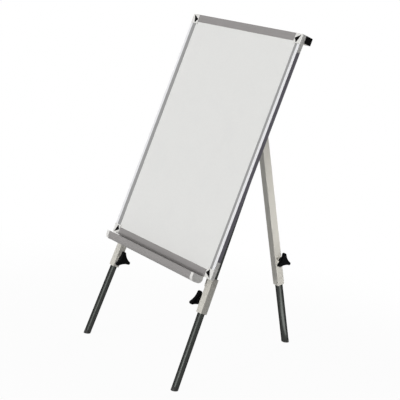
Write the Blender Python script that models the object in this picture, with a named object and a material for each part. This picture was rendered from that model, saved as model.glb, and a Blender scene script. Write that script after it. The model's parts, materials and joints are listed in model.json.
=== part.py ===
"""Flipchart easel: a framed dry-wipe board on two sliding front legs and one folding rear leg.

Units are metres. The board faces -Y, +X is to the reader's right and +Z is up.
The origin lies on the floor, under the middle of the feet.
"""

from math import atan2, cos, hypot, pi, radians, sin, tan

import bmesh
import bpy
from mathutils import Matrix, Vector

# Board and stance
BOARD_WIDTH = 0.710
BOARD_HEIGHT = 1.000
BOARD_LIFT = 0.4466
BOARD_LEAN = radians(16.1)
STANCE_DEPTH = 0.8561

# Clearances
FIT = 0.0003
BOLT_PLAY = 0.0003
EAR_GAP = 0.0005

# Frame rails: a channel with a sloping inner lip
RAIL_FACE = 0.031
RAIL_FLAT = 0.0145
RAIL_DEPTH = 0.0176
RAIL_WALL = 0.0016
RAIL_WEB = 0.0020
RAIL_LIP_DROP = 0.0024
RAIL_BACK = 0.022
RAIL_EDGE_RADIUS = 0.0015

# Panel layers, front to back
SURFACE_SHEET = 0.0005
BACK_SHEET = 0.0004

# Plastic corners
CORNER_ALONG = 0.042
CORNER_UP = 0.0395
CORNER_PROUD = 0.0004
CORNER_RADIUS = 0.005
INSERT_TIP = (0.0405, 0.020)
INSERT_SHOULDER = (0.0245, 0.0375)
INSERT_HEEL = (0.0095, 0.0045)
INSERT_SINK = 0.0010
INSERT_PROUD = 0.0006

# Pen tray
TRAY_REACH = 0.0554
TRAY_BACK_GAP = 0.002
TRAY_DROP = 0.029
TRAY_FRONT_TOP = 0.0044
TRAY_WALL = 0.002
TRAY_FRONT_RADIUS = 0.017
TRAY_BACK_RADIUS = 0.015
TRAY_FLANGE = 0.015
TRAY_INSET = 0.0412
TRAY_CAP_LENGTH = 0.016
TRAY_CAP_WALL = 0.003
TRAY_CAP_PROUD = 0.0008
TRAY_SCREW_INSET = 0.155

# Top crossbar
CROSSBAR_HEIGHT = 0.030
CROSSBAR_DEPTH = 0.036
CROSSBAR_WALL = 0.0015
CROSSBAR_INSET = 0.0005
CROSSBAR_RADIUS = 0.002
CROSSBAR_CAP = 0.004
CROSSBAR_SPIGOT = 0.018
CROSSBAR_SCREW_INSET = 0.135

# Rear hinge
HINGE_DEPTH = 0.0645
PIN_DROP = 0.0201
WEB_THICKNESS = 0.003
WEB_HALF_WIDTH = 0.040
WEB_SCREW_X = 0.031
EAR_THICKNESS = 0.003
EAR_RADIUS = 0.012
BOLT_RADIUS = 0.004
HEX_RADIUS = 0.0075
HEX_HEIGHT = 0.0055
BOLT_TAIL = 0.003
HINGE_BLOCK_DEPTH = 0.016

# Front legs
LEG_INSET = 0.0392
LEG_DEPTH = 0.0462
LEG_SPLAY = radians(2.13)
FRONT_TUBE_RADIUS = 0.0143
TUBE_WALL = 0.0015
FRONT_TUBE_RISE = 0.640
SOCKET_WALL = 0.0014
SOCKET_LENGTH = 0.1425
SOCKET_RISE = 0.005
SQUARE_RADIUS = 0.003
FRONT_CLAMP_DROP = 0.095

# Socket brackets
BRACKET_THICKNESS = 0.003
BRACKET_RISE = 0.028
BRACKET_DROP = 0.036
BRACKET_FOOT = 0.003
BRACKET_ARM = 0.045
BRACKET_SCREW_RISE = 0.014
BRACKET_SCREW_INSETS = (0.012, 0.034)

# Rear leg
REAR_TUBE_RADIUS = 0.0167
REAR_WALL = 0.001
REAR_UPPER_LIFT = 0.297
REAR_TUBE_OVERLAP = 0.706
REAR_CLAMP_LIFT = 0.130

# Plugs and feet
PLUG_FLANGE = 0.004
PLUG_SPIGOT = 0.015
PLUG_LIP = 0.0012
FOOT_HEIGHT = 0.013
FOOT_PROUD = 0.0005
FOOT_SPIGOT = 0.018

# Clamps: a boss, a threaded stud and a three-armed knob
BOSS_RADIUS = 0.009
FRONT_BOSS_HEIGHT = 0.008
REAR_BOSS_HEIGHT = 0.015
STUD_RADIUS = 0.004
STUD_ENGAGEMENT = 0.018
KNOB_GAP = 0.0005
KNOB_NECK = 0.013
KNOB_NECK_RADIUS = 0.013
KNOB_THICKNESS = 0.018
KNOB_REACH = 0.037
KNOB_TIP_RADIUS = 0.0072
KNOB_WAIST = 0.0172
KNOB_EDGE = 0.003
LEFT_KNOB_TURN = radians(-2)
RIGHT_KNOB_TURN = radians(12)
REAR_KNOB_TURN = radians(-8)

# Screws
SCREW_RADIUS = 0.002
SCREW_HEAD_RADIUS = 0.004
SCREW_HEAD_HEIGHT = 0.0025
SCREW_BITE = 0.0014

# Mesh fineness
ROUND_SEGMENTS = 32
HEX_SIDES = 6
SCREW_SEGMENTS = 16
KNOB_EDGE_STEPS = 2
ARC_STEPS = 6
CORNER_STEPS = 3
CUT_OVERRUN = 0.002
MERGE_DISTANCE = 1e-6
SHARP_ANGLE = radians(40)

# Sizes that follow from the ones above
LEG_X = BOARD_WIDTH / 2 - LEG_INSET
TRAY_HALF_LENGTH = BOARD_WIDTH / 2 - TRAY_INSET
TRAY_SCREW_X = BOARD_WIDTH / 2 - TRAY_SCREW_INSET
CROSSBAR_SCREW_X = BOARD_WIDTH / 2 - CROSSBAR_SCREW_INSET
PANEL_FRONT = RAIL_LIP_DROP + RAIL_WALL + FIT
PANEL_BACK = RAIL_DEPTH - RAIL_WALL - FIT
SOCKET_SIDE = 2 * (FRONT_TUBE_RADIUS + FIT + SOCKET_WALL)
REAR_SIDE = 2 * (REAR_TUBE_RADIUS + FIT + REAR_WALL)
CROSSBAR_FRONT = RAIL_DEPTH + FIT
CROSSBAR_TOP = BOARD_HEIGHT - CROSSBAR_INSET
CROSSBAR_BOTTOM = CROSSBAR_TOP - CROSSBAR_HEIGHT
WEB_BOTTOM = CROSSBAR_BOTTOM - FIT - WEB_THICKNESS
HINGE_RISE = WEB_BOTTOM - PIN_DROP
HOLE_RADIUS = SCREW_RADIUS + BOLT_PLAY

# Where the legs meet the floor, measured from the board's lower front edge
LEG_TOP_Z = BOARD_LIFT - LEG_DEPTH * sin(BOARD_LEAN)
FRONT_FOOT_Y = LEG_DEPTH * cos(BOARD_LEAN) - LEG_TOP_Z * tan(BOARD_LEAN)
REAR_FOOT_Y = FRONT_FOOT_Y + STANCE_DEPTH
FRONT_REACH = LEG_TOP_Z / (cos(BOARD_LEAN) * cos(LEG_SPLAY))
HINGE_Y = HINGE_DEPTH * cos(BOARD_LEAN) + HINGE_RISE * sin(BOARD_LEAN)
HINGE_Z = BOARD_LIFT + HINGE_RISE * cos(BOARD_LEAN) - HINGE_DEPTH * sin(BOARD_LEAN)
REAR_LEAN = atan2(REAR_FOOT_Y - HINGE_Y, HINGE_Z)
REAR_REACH = hypot(REAR_FOOT_Y - HINGE_Y, HINGE_Z)
OPEN_ANGLE = BOARD_LEAN + REAR_LEAN
REAR_TUBE_TOP = (PIN_DROP - FIT - REAR_SIDE / 2 * sin(OPEN_ANGLE)) / cos(OPEN_ANGLE)

# The feet's outer edges sit the same distance in front of and behind the origin
FRONT_EDGE = FRONT_FOOT_Y - (FRONT_TUBE_RADIUS + FOOT_PROUD) / cos(BOARD_LEAN)
REAR_EDGE = REAR_FOOT_Y + (REAR_TUBE_RADIUS + FOOT_PROUD) / cos(REAR_LEAN)
BOARD_Y = -(FRONT_EDGE + REAR_EDGE) / 2

SIDES = {"left": -1, "right": 1}
KNOB_TURNS = {"left": LEFT_KNOB_TURN, "right": RIGHT_KNOB_TURN}


def clear_scene():
    """Remove whatever the file opened with."""
    for obj in list(bpy.data.objects):
        bpy.data.objects.remove(obj)


def finish(name, color, roughness, metallic=0.0):
    """A plain Principled material."""
    material = bpy.data.materials.new(name)
    material.use_nodes = True
    shader = material.node_tree.nodes["Principled BSDF"]
    shader.inputs["Base Color"].default_value = (*color, 1.0)
    shader.inputs["Roughness"].default_value = roughness
    shader.inputs["Metallic"].default_value = metallic
    return material


def add_frame(name, matrix):
    """An empty that carries the pieces of one sub-assembly."""
    frame = bpy.data.objects.new(name, None)
    bpy.context.scene.collection.objects.link(frame)
    frame.matrix_world = matrix
    return frame


def add_object(name, bm, material, parent, location=(0, 0, 0), rotation=(0, 0, 0)):
    """Turn a bmesh into a named object under its frame."""
    bmesh.ops.recalc_face_normals(bm, faces=bm.faces[:])
    mesh = bpy.data.meshes.new(name)
    bm.to_mesh(mesh)
    bm.free()
    mesh.shade_smooth()
    mesh.set_sharp_from_angle(angle=SHARP_ANGLE)
    if material:
        mesh.materials.append(material)
    obj = bpy.data.objects.new(name, mesh)
    bpy.context.scene.collection.objects.link(obj)
    obj.parent = parent
    obj.location = location
    obj.rotation_euler = rotation
    return obj


def extrude(outline, axis, start, end):
    """Extrude a closed outline along X, Y or Z. Its two numbers are the other two axes, in order."""
    order = {"X": (2, 0, 1), "Y": (0, 2, 1), "Z": (0, 1, 2)}[axis]
    bm = bmesh.new()

    def place(first, second, along):
        values = (first, second, along)
        return Vector([values[index] for index in order])

    face = bm.faces.new([bm.verts.new(place(a, b, start)) for a, b in outline])
    grown = bmesh.ops.extrude_face_region(bm, geom=[face])["geom"]
    moved = [item for item in grown if isinstance(item, bmesh.types.BMVert)]
    bmesh.ops.translate(bm, verts=moved, vec=place(0, 0, end - start))
    return bm


def box(low, high):
    """A box between two corners."""
    outline = [(low[0], low[1]), (high[0], low[1]), (high[0], high[1]), (low[0], high[1])]
    return extrude(outline, "Z", low[2], high[2])


def rod(radius, start, end, segments=ROUND_SEGMENTS):
    """A round bar between two points."""
    start = Vector(start)
    end = Vector(end)
    turn = (end - start).to_track_quat("Z", "Y").to_matrix().to_4x4()
    bm = bmesh.new()
    bmesh.ops.create_cone(
        bm,
        cap_ends=True,
        segments=segments,
        radius1=radius,
        radius2=radius,
        depth=(end - start).length,
        matrix=Matrix.Translation((start + end) / 2) @ turn,
    )
    return bm


def turned(profile, segments=ROUND_SEGMENTS):
    """Spin a closed profile of (radius, height) points about Z."""
    bm = bmesh.new()
    verts = [bm.verts.new((radius, 0, height)) for radius, height in profile]
    edges = [bm.edges.new((verts[i - 1], verts[i])) for i in range(len(verts))]
    bmesh.ops.spin(
        bm, geom=verts + edges, cent=(0, 0, 0), axis=(0, 0, 1), angle=2 * pi, steps=segments
    )
    bmesh.ops.remove_doubles(bm, verts=bm.verts[:], dist=MERGE_DISTANCE)
    return bm


def tube(radius, wall, low, high):
    """A round tube about Z."""
    inner = radius - wall
    return turned([(inner, low), (radius, low), (radius, high), (inner, high)])


def arc(centre, radius, start, end, steps=ARC_STEPS):
    """Points along a circular arc."""
    angles = [start + (end - start) * i / steps for i in range(steps + 1)]
    return [(centre[0] + radius * cos(a), centre[1] + radius * sin(a)) for a in angles]


def rounded_rectangle(width, height, radius):
    """A rectangle about the origin with round corners."""
    points = []
    for index, (sx, sy) in enumerate([(1, 1), (-1, 1), (-1, -1), (1, -1)]):
        centre = (sx * (width / 2 - radius), sy * (height / 2 - radius))
        points += arc(centre, radius, index * pi / 2, (index + 1) * pi / 2, CORNER_STEPS)
    return points


def square_tube(width, height, wall, radius, axis, low, high):
    """A rectangular tube with round edges, about the chosen axis."""
    bm = bmesh.new()
    loops = []
    for inset in (0, wall):
        outline = rounded_rectangle(width - 2 * inset, height - 2 * inset, radius - inset)
        verts = [bm.verts.new((a, b, low)) for a, b in outline]
        loops.append([bm.edges.new((verts[i - 1], verts[i])) for i in range(len(verts))])
    faces = bmesh.ops.bridge_loops(bm, edges=loops[0] + loops[1])["faces"]
    grown = bmesh.ops.extrude_face_region(bm, geom=faces)["geom"]
    moved = [item for item in grown if isinstance(item, bmesh.types.BMVert)]
    bmesh.ops.translate(bm, verts=moved, vec=(0, 0, high - low))
    if axis == "X":
        bmesh.ops.rotate(bm, verts=bm.verts[:], matrix=Matrix(((0, 0, 1), (1, 0, 0), (0, 1, 0))))
    return bm


def offset_path(points, distance, closed=False):
    """The points moved to the left of travel, so that each stretch stays parallel to where it was."""
    count = len(points)
    moved = []
    for i, here in enumerate(points):
        before = points[i - 1] if closed or i else None
        after = points[(i + 1) % count] if closed or i < count - 1 else None
        normals = []
        for first, second in ((before, here), (here, after)):
            if first and second:
                run = Vector(second) - Vector(first)
                normals.append(Vector((-run.y, run.x)).normalized())
        middle = sum(normals, Vector((0, 0))).normalized()
        shift = middle * (distance / middle.dot(normals[0]))
        moved.append((here[0] + shift.x, here[1] + shift.y))
    return moved


def apply_helper(target, operation, helper):
    """Join or cut a target with a helper that stays out of the render."""
    helper.hide_render = True
    helper.display_type = "WIRE"
    modifier = target.modifiers.new(helper.name, "BOOLEAN")
    modifier.operation = operation
    modifier.solver = "EXACT"
    modifier.object = helper


def combine(target, operation, bm, name):
    """Join or cut a shape that is given in the target's own coordinates."""
    name = f"{target.name}_{name}"
    helper = add_object(name, bm, None, target.parent, target.location, target.rotation_euler)
    apply_helper(target, operation, helper)


def join(target, bm, name):
    """Add a shape to the target."""
    combine(target, "UNION", bm, name)


def cut(target, bm, name):
    """Take a shape out of the target."""
    combine(target, "DIFFERENCE", bm, name)


def drill(target, radius, start, end, name, frame=None):
    """A round hole between two points, given in the target's frame or in another one."""
    bm = rod(radius, start, end, SCREW_SEGMENTS)
    helper = add_object(f"{target.name}_{name}", bm, None, frame or target.parent)
    apply_helper(target, "DIFFERENCE", helper)


def add_screw(name, parent, seat, towards, length, material):
    """A pan-head screw. The head's underside is at seat and the head faces along towards."""
    profile = [
        (0, -length),
        (SCREW_RADIUS, -length),
        (SCREW_RADIUS, 0),
        (SCREW_HEAD_RADIUS, 0),
        (SCREW_HEAD_RADIUS, SCREW_HEAD_HEIGHT / 2),
        (SCREW_HEAD_RADIUS / 2, SCREW_HEAD_HEIGHT),
        (0, SCREW_HEAD_HEIGHT),
    ]
    turn = Vector(towards).to_track_quat("Z", "Y").to_euler()
    return add_object(name, turned(profile, SCREW_SEGMENTS), material, parent, seat, turn)


def make_finishes():
    """Every finish, by name."""
    return {
        "surface": finish("white_enamel", (0.78, 0.78, 0.76), 0.35),
        "core": finish("fibreboard", (0.55, 0.42, 0.28), 0.9),
        "backing": finish("mill_aluminium", (0.60, 0.61, 0.62), 0.5, 0.8),
        "zinc": finish("zinc_plate", (0.55, 0.56, 0.58), 0.4, 0.9),
        "aluminium": finish("brushed_aluminium", (0.42, 0.41, 0.40), 0.4, 0.8),
        "corner": finish("pale_plastic", (0.68, 0.67, 0.64), 0.45),
        "black": finish("black_plastic", (0.012, 0.012, 0.012), 0.5),
        "cream": finish("cream_paint", (0.62, 0.60, 0.56), 0.45),
        "dark": finish("dark_grey_paint", (0.045, 0.05, 0.046), 0.35),
        "rubber": finish("black_rubber", (0.02, 0.02, 0.02), 0.85),
    }


def make_frames():
    """The board's frame, one frame on each leg's axis, and one on the rear hinge's axis."""
    board = Matrix.Translation((0, BOARD_Y, BOARD_LIFT)) @ Matrix.Rotation(-BOARD_LEAN, 4, "X")
    frames = {"board": add_frame("board_frame", board)}
    for side, sign in SIDES.items():
        splay = Matrix.Rotation(-sign * LEG_SPLAY, 4, "Y")
        axis = board @ Matrix.Translation((sign * LEG_X, LEG_DEPTH, 0)) @ splay
        frames[side] = add_frame(f"{side}_leg_frame", axis)
    hinge = Matrix.Translation((0, BOARD_Y + HINGE_Y, HINGE_Z)) @ Matrix.Rotation(REAR_LEAN, 4, "X")
    frames["rear"] = add_frame("rear_leg_frame", hinge)
    return frames


def make_panel(frame, finishes):
    """Enamelled sheet, fibreboard core and back sheet, held in the rails' channel."""
    edge = RAIL_WEB + FIT
    half = BOARD_WIDTH / 2 - edge
    layers = [
        ("writing_surface", PANEL_FRONT, PANEL_FRONT + SURFACE_SHEET, "surface"),
        ("panel_core", PANEL_FRONT + SURFACE_SHEET + FIT, PANEL_BACK - BACK_SHEET - FIT, "core"),
        ("panel_back_sheet", PANEL_BACK - BACK_SHEET, PANEL_BACK, "backing"),
    ]
    for name, front, back, kind in layers:
        shape = box((-half, front, edge), (half, back, BOARD_HEIGHT - edge))
        add_object(name, shape, finishes[kind], frame)


def rail_profile():
    """The channel's section: distance in from the outer edge, and depth behind the front."""
    corner = arc((RAIL_EDGE_RADIUS, RAIL_EDGE_RADIUS), RAIL_EDGE_RADIUS, pi, 1.5 * pi, CORNER_STEPS)
    return [
        (0, RAIL_DEPTH),
        *corner,
        (RAIL_FLAT, 0),
        (RAIL_FACE, RAIL_LIP_DROP),
        (RAIL_FACE, RAIL_LIP_DROP + RAIL_WALL),
        (RAIL_FLAT, RAIL_WALL),
        (RAIL_WEB, RAIL_WALL),
        (RAIL_WEB, RAIL_DEPTH - RAIL_WALL),
        (RAIL_BACK, RAIL_DEPTH - RAIL_WALL),
        (RAIL_BACK, RAIL_DEPTH),
    ]


def make_rails(frame, finishes):
    """Four rails that stop short of the plastic corners."""
    profile = rail_profile()
    reach = BOARD_WIDTH / 2 - CORNER_ALONG - FIT
    low = CORNER_UP + FIT
    high = BOARD_HEIGHT - CORNER_UP - FIT
    metal = finishes["aluminium"]
    for side, sign in SIDES.items():
        outline = [(sign * (BOARD_WIDTH / 2 - inset), depth) for inset, depth in profile]
        add_object(f"{side}_rail", extrude(outline, "Z", low, high), metal, frame)
    outline = [(depth, BOARD_HEIGHT - inset) for inset, depth in profile]
    top = add_object("top_rail", extrude(outline, "X", -reach, reach), metal, frame)
    outline = [(depth, inset) for inset, depth in profile]
    bottom = add_object("bottom_rail", extrude(outline, "X", -reach, reach), metal, frame)
    return top, bottom


def make_corners(frame, finishes):
    """Plastic corners that hold the panel's corners, each with a black insert."""
    outer = arc((CORNER_RADIUS, CORNER_RADIUS), CORNER_RADIUS, pi, 1.5 * pi)
    block = [*outer, (CORNER_ALONG, 0), (CORNER_ALONG, CORNER_UP), (0, CORNER_UP)]
    along = CORNER_ALONG + CUT_OVERRUN
    up = CORNER_UP + CUT_OVERRUN
    pocket = [(RAIL_WEB, RAIL_WEB), (along, RAIL_WEB), (along, up), (RAIL_WEB, up)]
    insert = [INSERT_HEEL, INSERT_TIP, INSERT_SHOULDER]
    recess = offset_path(insert, -FIT, closed=True)
    seat = INSERT_SINK - CORNER_PROUD
    for side, sign in SIDES.items():
        for level, base, rise in (("bottom", 0, 1), ("top", BOARD_HEIGHT, -1)):

            def placed(points):
                return [(sign * (BOARD_WIDTH / 2 - u), base + rise * w) for u, w in points]

            name = f"{level}_{side}"
            shape = extrude(placed(block), "Y", -CORNER_PROUD, RAIL_DEPTH)
            corner = add_object(f"corner_{name}", shape, finishes["corner"], frame)
            front = PANEL_FRONT - FIT
            cut(corner, extrude(placed(pocket), "Y", front, PANEL_BACK + FIT), "pocket")
            cut(corner, extrude(placed(recess), "Y", -CORNER_PROUD - CUT_OVERRUN, seat), "recess")
            shape = extrude(placed(insert), "Y", -CORNER_PROUD - INSERT_PROUD, seat - FIT)
            add_object(f"corner_insert_{name}", shape, finishes["black"], frame)


def tray_path():
    """The tray's mid-wall line from its front lip to the top of its back wall: depth and height."""
    half = TRAY_WALL / 2
    front = -TRAY_REACH + half
    back = -TRAY_BACK_GAP - half
    floor = -TRAY_DROP + half
    front_centre = (front + TRAY_FRONT_RADIUS, floor + TRAY_FRONT_RADIUS)
    back_centre = (back - TRAY_BACK_RADIUS, floor + TRAY_BACK_RADIUS)
    return [
        (front, TRAY_FRONT_TOP),
        *arc(front_centre, TRAY_FRONT_RADIUS, pi, 1.5 * pi),
        *arc(back_centre, TRAY_BACK_RADIUS, 1.5 * pi, 2 * pi),
        (back, -FIT - half),
    ]


def make_tray(frame, finishes, bottom_rail):
    """An extruded tray screwed up into the bottom rail, with a plastic cap on each end."""
    path = tray_path()
    half = TRAY_WALL / 2
    strip = [*path, (TRAY_FLANGE, -FIT - half)]
    outline = offset_path(strip, half) + offset_path(strip, -half)[::-1]
    reach = TRAY_HALF_LENGTH - TRAY_CAP_LENGTH - FIT
    tray = add_object("pen_tray", extrude(outline, "X", -reach, reach), finishes["aluminium"], frame)

    shell = offset_path(path, -half - TRAY_CAP_PROUD)
    hollow = offset_path(path, TRAY_CAP_WALL - half - TRAY_CAP_PROUD)
    rim = TRAY_FRONT_TOP + CUT_OVERRUN
    hollow = [(hollow[0][0], rim), *hollow, (hollow[-1][0], rim)]
    seat = -TRAY_WALL - 2 * FIT
    for side, sign in SIDES.items():
        inner = sign * (TRAY_HALF_LENGTH - TRAY_CAP_LENGTH)
        outer = sign * TRAY_HALF_LENGTH
        cap = add_object(f"tray_cap_{side}", extrude(shell, "X", inner, outer), finishes["corner"], frame)
        start = inner - sign * CUT_OVERRUN
        cut(cap, extrude(hollow, "X", start, outer - sign * TRAY_CAP_WALL), "hollow")

        x = sign * TRAY_SCREW_X
        y = TRAY_FLANGE / 2
        length = TRAY_WALL + 2 * FIT + SCREW_BITE
        add_screw(f"tray_screw_{side}", frame, (x, y, seat), (0, 0, -1), length, finishes["zinc"])
        hole = ((x, y, seat - CUT_OVERRUN), (x, y, RAIL_WEB + CUT_OVERRUN / 2))
        drill(tray, HOLE_RADIUS, *hole, f"{side}_screw_hole")
        drill(bottom_rail, HOLE_RADIUS, *hole, f"{side}_tray_screw_hole")


def make_crossbar(frame, finishes, top_rail):
    """A capped tube across the back of the top rail, which carries the rear hinge."""
    reach = BOARD_WIDTH / 2 - CROSSBAR_CAP - FIT
    centre = (0, CROSSBAR_FRONT + CROSSBAR_DEPTH / 2, CROSSBAR_BOTTOM + CROSSBAR_HEIGHT / 2)
    shape = square_tube(
        CROSSBAR_DEPTH, CROSSBAR_HEIGHT, CROSSBAR_WALL, CROSSBAR_RADIUS, "X", -reach, reach
    )
    bmesh.ops.translate(shape, verts=shape.verts[:], vec=centre)
    bar = add_object("top_crossbar", shape, finishes["cream"], frame)
    back = CROSSBAR_FRONT + CROSSBAR_DEPTH
    for side, sign in SIDES.items():
        outline = rounded_rectangle(CROSSBAR_DEPTH, CROSSBAR_HEIGHT, CROSSBAR_RADIUS)
        outline = [(centre[1] + a, centre[2] + b) for a, b in outline]
        shape = extrude(outline, "X", sign * (reach + FIT), sign * BOARD_WIDTH / 2)
        cap = add_object(f"crossbar_cap_{side}", shape, finishes["black"], frame)
        inset = 2 * (CROSSBAR_WALL + FIT)
        spigot = rounded_rectangle(CROSSBAR_DEPTH - inset, CROSSBAR_HEIGHT - inset, CROSSBAR_RADIUS)
        spigot = [(centre[1] + a, centre[2] + b) for a, b in spigot]
        ends = (sign * (reach - CROSSBAR_SPIGOT), sign * (reach + CROSSBAR_CAP / 2))
        join(cap, extrude(spigot, "X", *ends), "spigot")

        x = sign * CROSSBAR_SCREW_X
        z = centre[2]
        seat = (x, back + FIT, z)
        length = back + FIT - (RAIL_DEPTH - SCREW_BITE)
        add_screw(f"crossbar_screw_{side}", frame, seat, (0, 1, 0), length, finishes["zinc"])
        drill(bar, HOLE_RADIUS, (x, 0, z), (x, back + CUT_OVERRUN, z), f"{side}_screw_hole")
        drill(top_rail, HOLE_RADIUS, (x, PANEL_BACK, z), (x, back, z), f"{side}_screw_hole")
    return bar


def make_hinge(frame, finishes, crossbar):
    """A bracket under the crossbar, with two ears and the bolt that the rear leg swings on."""
    web_top = WEB_BOTTOM + WEB_THICKNESS
    web_front = CROSSBAR_FRONT
    web_back = HINGE_DEPTH + EAR_RADIUS
    shape = box((-WEB_HALF_WIDTH, web_front, WEB_BOTTOM), (WEB_HALF_WIDTH, web_back, web_top))
    bracket = add_object("hinge_bracket", shape, finishes["zinc"], frame)
    ear = [
        (web_front, web_top),
        (web_front, WEB_BOTTOM - EAR_RADIUS / 2),
        *arc((HINGE_DEPTH, HINGE_RISE), EAR_RADIUS, pi, 2 * pi),
        (web_back, web_top),
    ]
    inner = REAR_SIDE / 2 + EAR_GAP
    outer = inner + EAR_THICKNESS
    pin = (HINGE_DEPTH, HINGE_RISE)
    for side, sign in SIDES.items():
        join(bracket, extrude(ear, "X", sign * inner, sign * outer), f"{side}_ear")
        x = sign * WEB_SCREW_X
        y = CROSSBAR_FRONT + CROSSBAR_DEPTH / 2
        seat = (x, y, WEB_BOTTOM - FIT)
        length = WEB_THICKNESS + 2 * FIT + SCREW_BITE
        add_screw(f"hinge_screw_{side}", frame, seat, (0, 0, -1), length, finishes["zinc"])
        hole = ((x, y, WEB_BOTTOM - CUT_OVERRUN), (x, y, web_top + CROSSBAR_WALL + CUT_OVERRUN))
        drill(bracket, HOLE_RADIUS, *hole, f"{side}_screw_hole")
        drill(crossbar, HOLE_RADIUS, *hole, f"{side}_hinge_screw_hole")
    bore = BOLT_RADIUS + BOLT_PLAY
    drill(bracket, bore, (-2 * outer, *pin), (2 * outer, *pin), "bolt_hole")

    head = -outer - FIT
    nut = outer + FIT
    tail = nut + HEX_HEIGHT + BOLT_TAIL
    shape = rod(BOLT_RADIUS, (head - HEX_HEIGHT / 2, *pin), (tail, *pin))
    bolt = add_object("hinge_bolt", shape, finishes["zinc"], frame)
    join(bolt, rod(HEX_RADIUS, (head - HEX_HEIGHT, *pin), (head, *pin), HEX_SIDES), "head")
    shape = rod(HEX_RADIUS, (nut, *pin), (nut + HEX_HEIGHT, *pin), HEX_SIDES)
    hinge_nut = add_object("hinge_nut", shape, finishes["zinc"], frame)
    drill(hinge_nut, bore, (0, *pin), (2 * tail, *pin), "thread")


def knob_outline(turn):
    """Three arms with round tips, one of them at the given angle, and a hollow arc between each two."""
    tip = KNOB_REACH - KNOB_TIP_RADIUS
    spread = KNOB_WAIST - KNOB_TIP_RADIUS
    middle = (tip**2 - spread**2) / (tip - 2 * spread)
    lean = atan2(middle * sin(pi / 3), middle * cos(pi / 3) - tip)
    swing = lean - pi / 3
    points = []
    for arm in range(3):
        along = turn + arm * 2 * pi / 3
        facing = along + pi / 3 + pi
        tip_centre = (tip * cos(along), tip * sin(along))
        points += arc(tip_centre, KNOB_TIP_RADIUS, along - lean, along + lean)
        hollow_centre = (-middle * cos(facing), -middle * sin(facing))
        hollow = arc(hollow_centre, middle - KNOB_WAIST, facing + swing, facing - swing)
        points += hollow[1:-1]
    return points


def make_clamp(side, frame, finishes, carrier, direction, face, tube_radius, boss_height, height, turn):
    """Boss, stud and knob on the carrier's face that looks along X in the given direction.

    The face lies that far from the leg's axis, and turn is how far the top arm leans from the axis.
    """
    boss_low = face + FIT
    boss_high = face + boss_height
    bore = STUD_RADIUS + BOLT_PLAY

    def at(x):
        return (direction * x, 0, height)

    shape = rod(BOSS_RADIUS, at(boss_low), at(boss_high))
    boss = add_object(f"clamp_boss_{side}", shape, finishes["cream"], frame)
    drill(boss, bore, at(0), at(2 * boss_high), "thread")
    drill(carrier, bore, at(tube_radius), at(boss_high), "stud_hole")

    back = boss_high + KNOB_GAP
    rotation = (0, direction * pi / 2, 0)
    tip = tube_radius + FIT - back
    shape = rod(STUD_RADIUS, (0, 0, tip), (0, 0, STUD_ENGAGEMENT))
    add_object(f"clamp_stud_{side}", shape, finishes["zinc"], frame, at(back), rotation)

    top_arm = atan2(sin(turn), -direction * cos(turn))
    shape = extrude(knob_outline(top_arm), "Z", KNOB_NECK, KNOB_NECK + KNOB_THICKNESS)
    knob = add_object(f"clamp_knob_{side}", shape, finishes["black"], frame, at(back), rotation)
    bevel = knob.modifiers.new("edge", "BEVEL")
    bevel.width = KNOB_EDGE
    bevel.segments = KNOB_EDGE_STEPS
    bevel.limit_method = "ANGLE"
    bevel.angle_limit = SHARP_ANGLE
    join(knob, rod(KNOB_NECK_RADIUS, (0, 0, 0), (0, 0, KNOB_NECK + KNOB_EDGE)), "neck")
    blind = STUD_ENGAGEMENT + FIT
    cut(knob, rod(bore, (0, 0, -CUT_OVERRUN), (0, 0, blind), SCREW_SEGMENTS), "bore")


def make_foot(name, frame, material, reach, tube_radius):
    """A rubber foot on the end of a tube, cut level with the floor."""
    radius = tube_radius + FOOT_PROUD
    spigot = tube_radius - TUBE_WALL - FIT
    profile = [
        (0, -radius),
        (radius, -radius),
        (radius, FOOT_HEIGHT),
        (spigot, FOOT_HEIGHT),
        (spigot, FOOT_HEIGHT + FOOT_SPIGOT),
        (0, FOOT_HEIGHT + FOOT_SPIGOT),
    ]
    bm = turned(profile)
    down = frame.matrix_world.to_3x3().inverted() @ Vector((0, 0, -1))
    everything = bm.verts[:] + bm.edges[:] + bm.faces[:]
    bmesh.ops.bisect_plane(bm, geom=everything, plane_co=(0, 0, 0), plane_no=down, clear_outer=True)
    bmesh.ops.holes_fill(bm, edges=bm.edges[:], sides=0)
    add_object(name, bm, material, frame, (0, 0, -reach))


def make_plug(name, frame, material, top, tube_radius, flange_radius):
    """A plastic plug in the top of a sliding tube."""
    spigot = tube_radius - TUBE_WALL - FIT
    profile = [
        (0, -PLUG_SPIGOT),
        (spigot, -PLUG_SPIGOT),
        (spigot, FIT),
        (flange_radius, FIT),
        (flange_radius, PLUG_FLANGE),
        (0, PLUG_FLANGE),
    ]
    add_object(name, turned(profile), material, frame, (0, 0, top))


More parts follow.
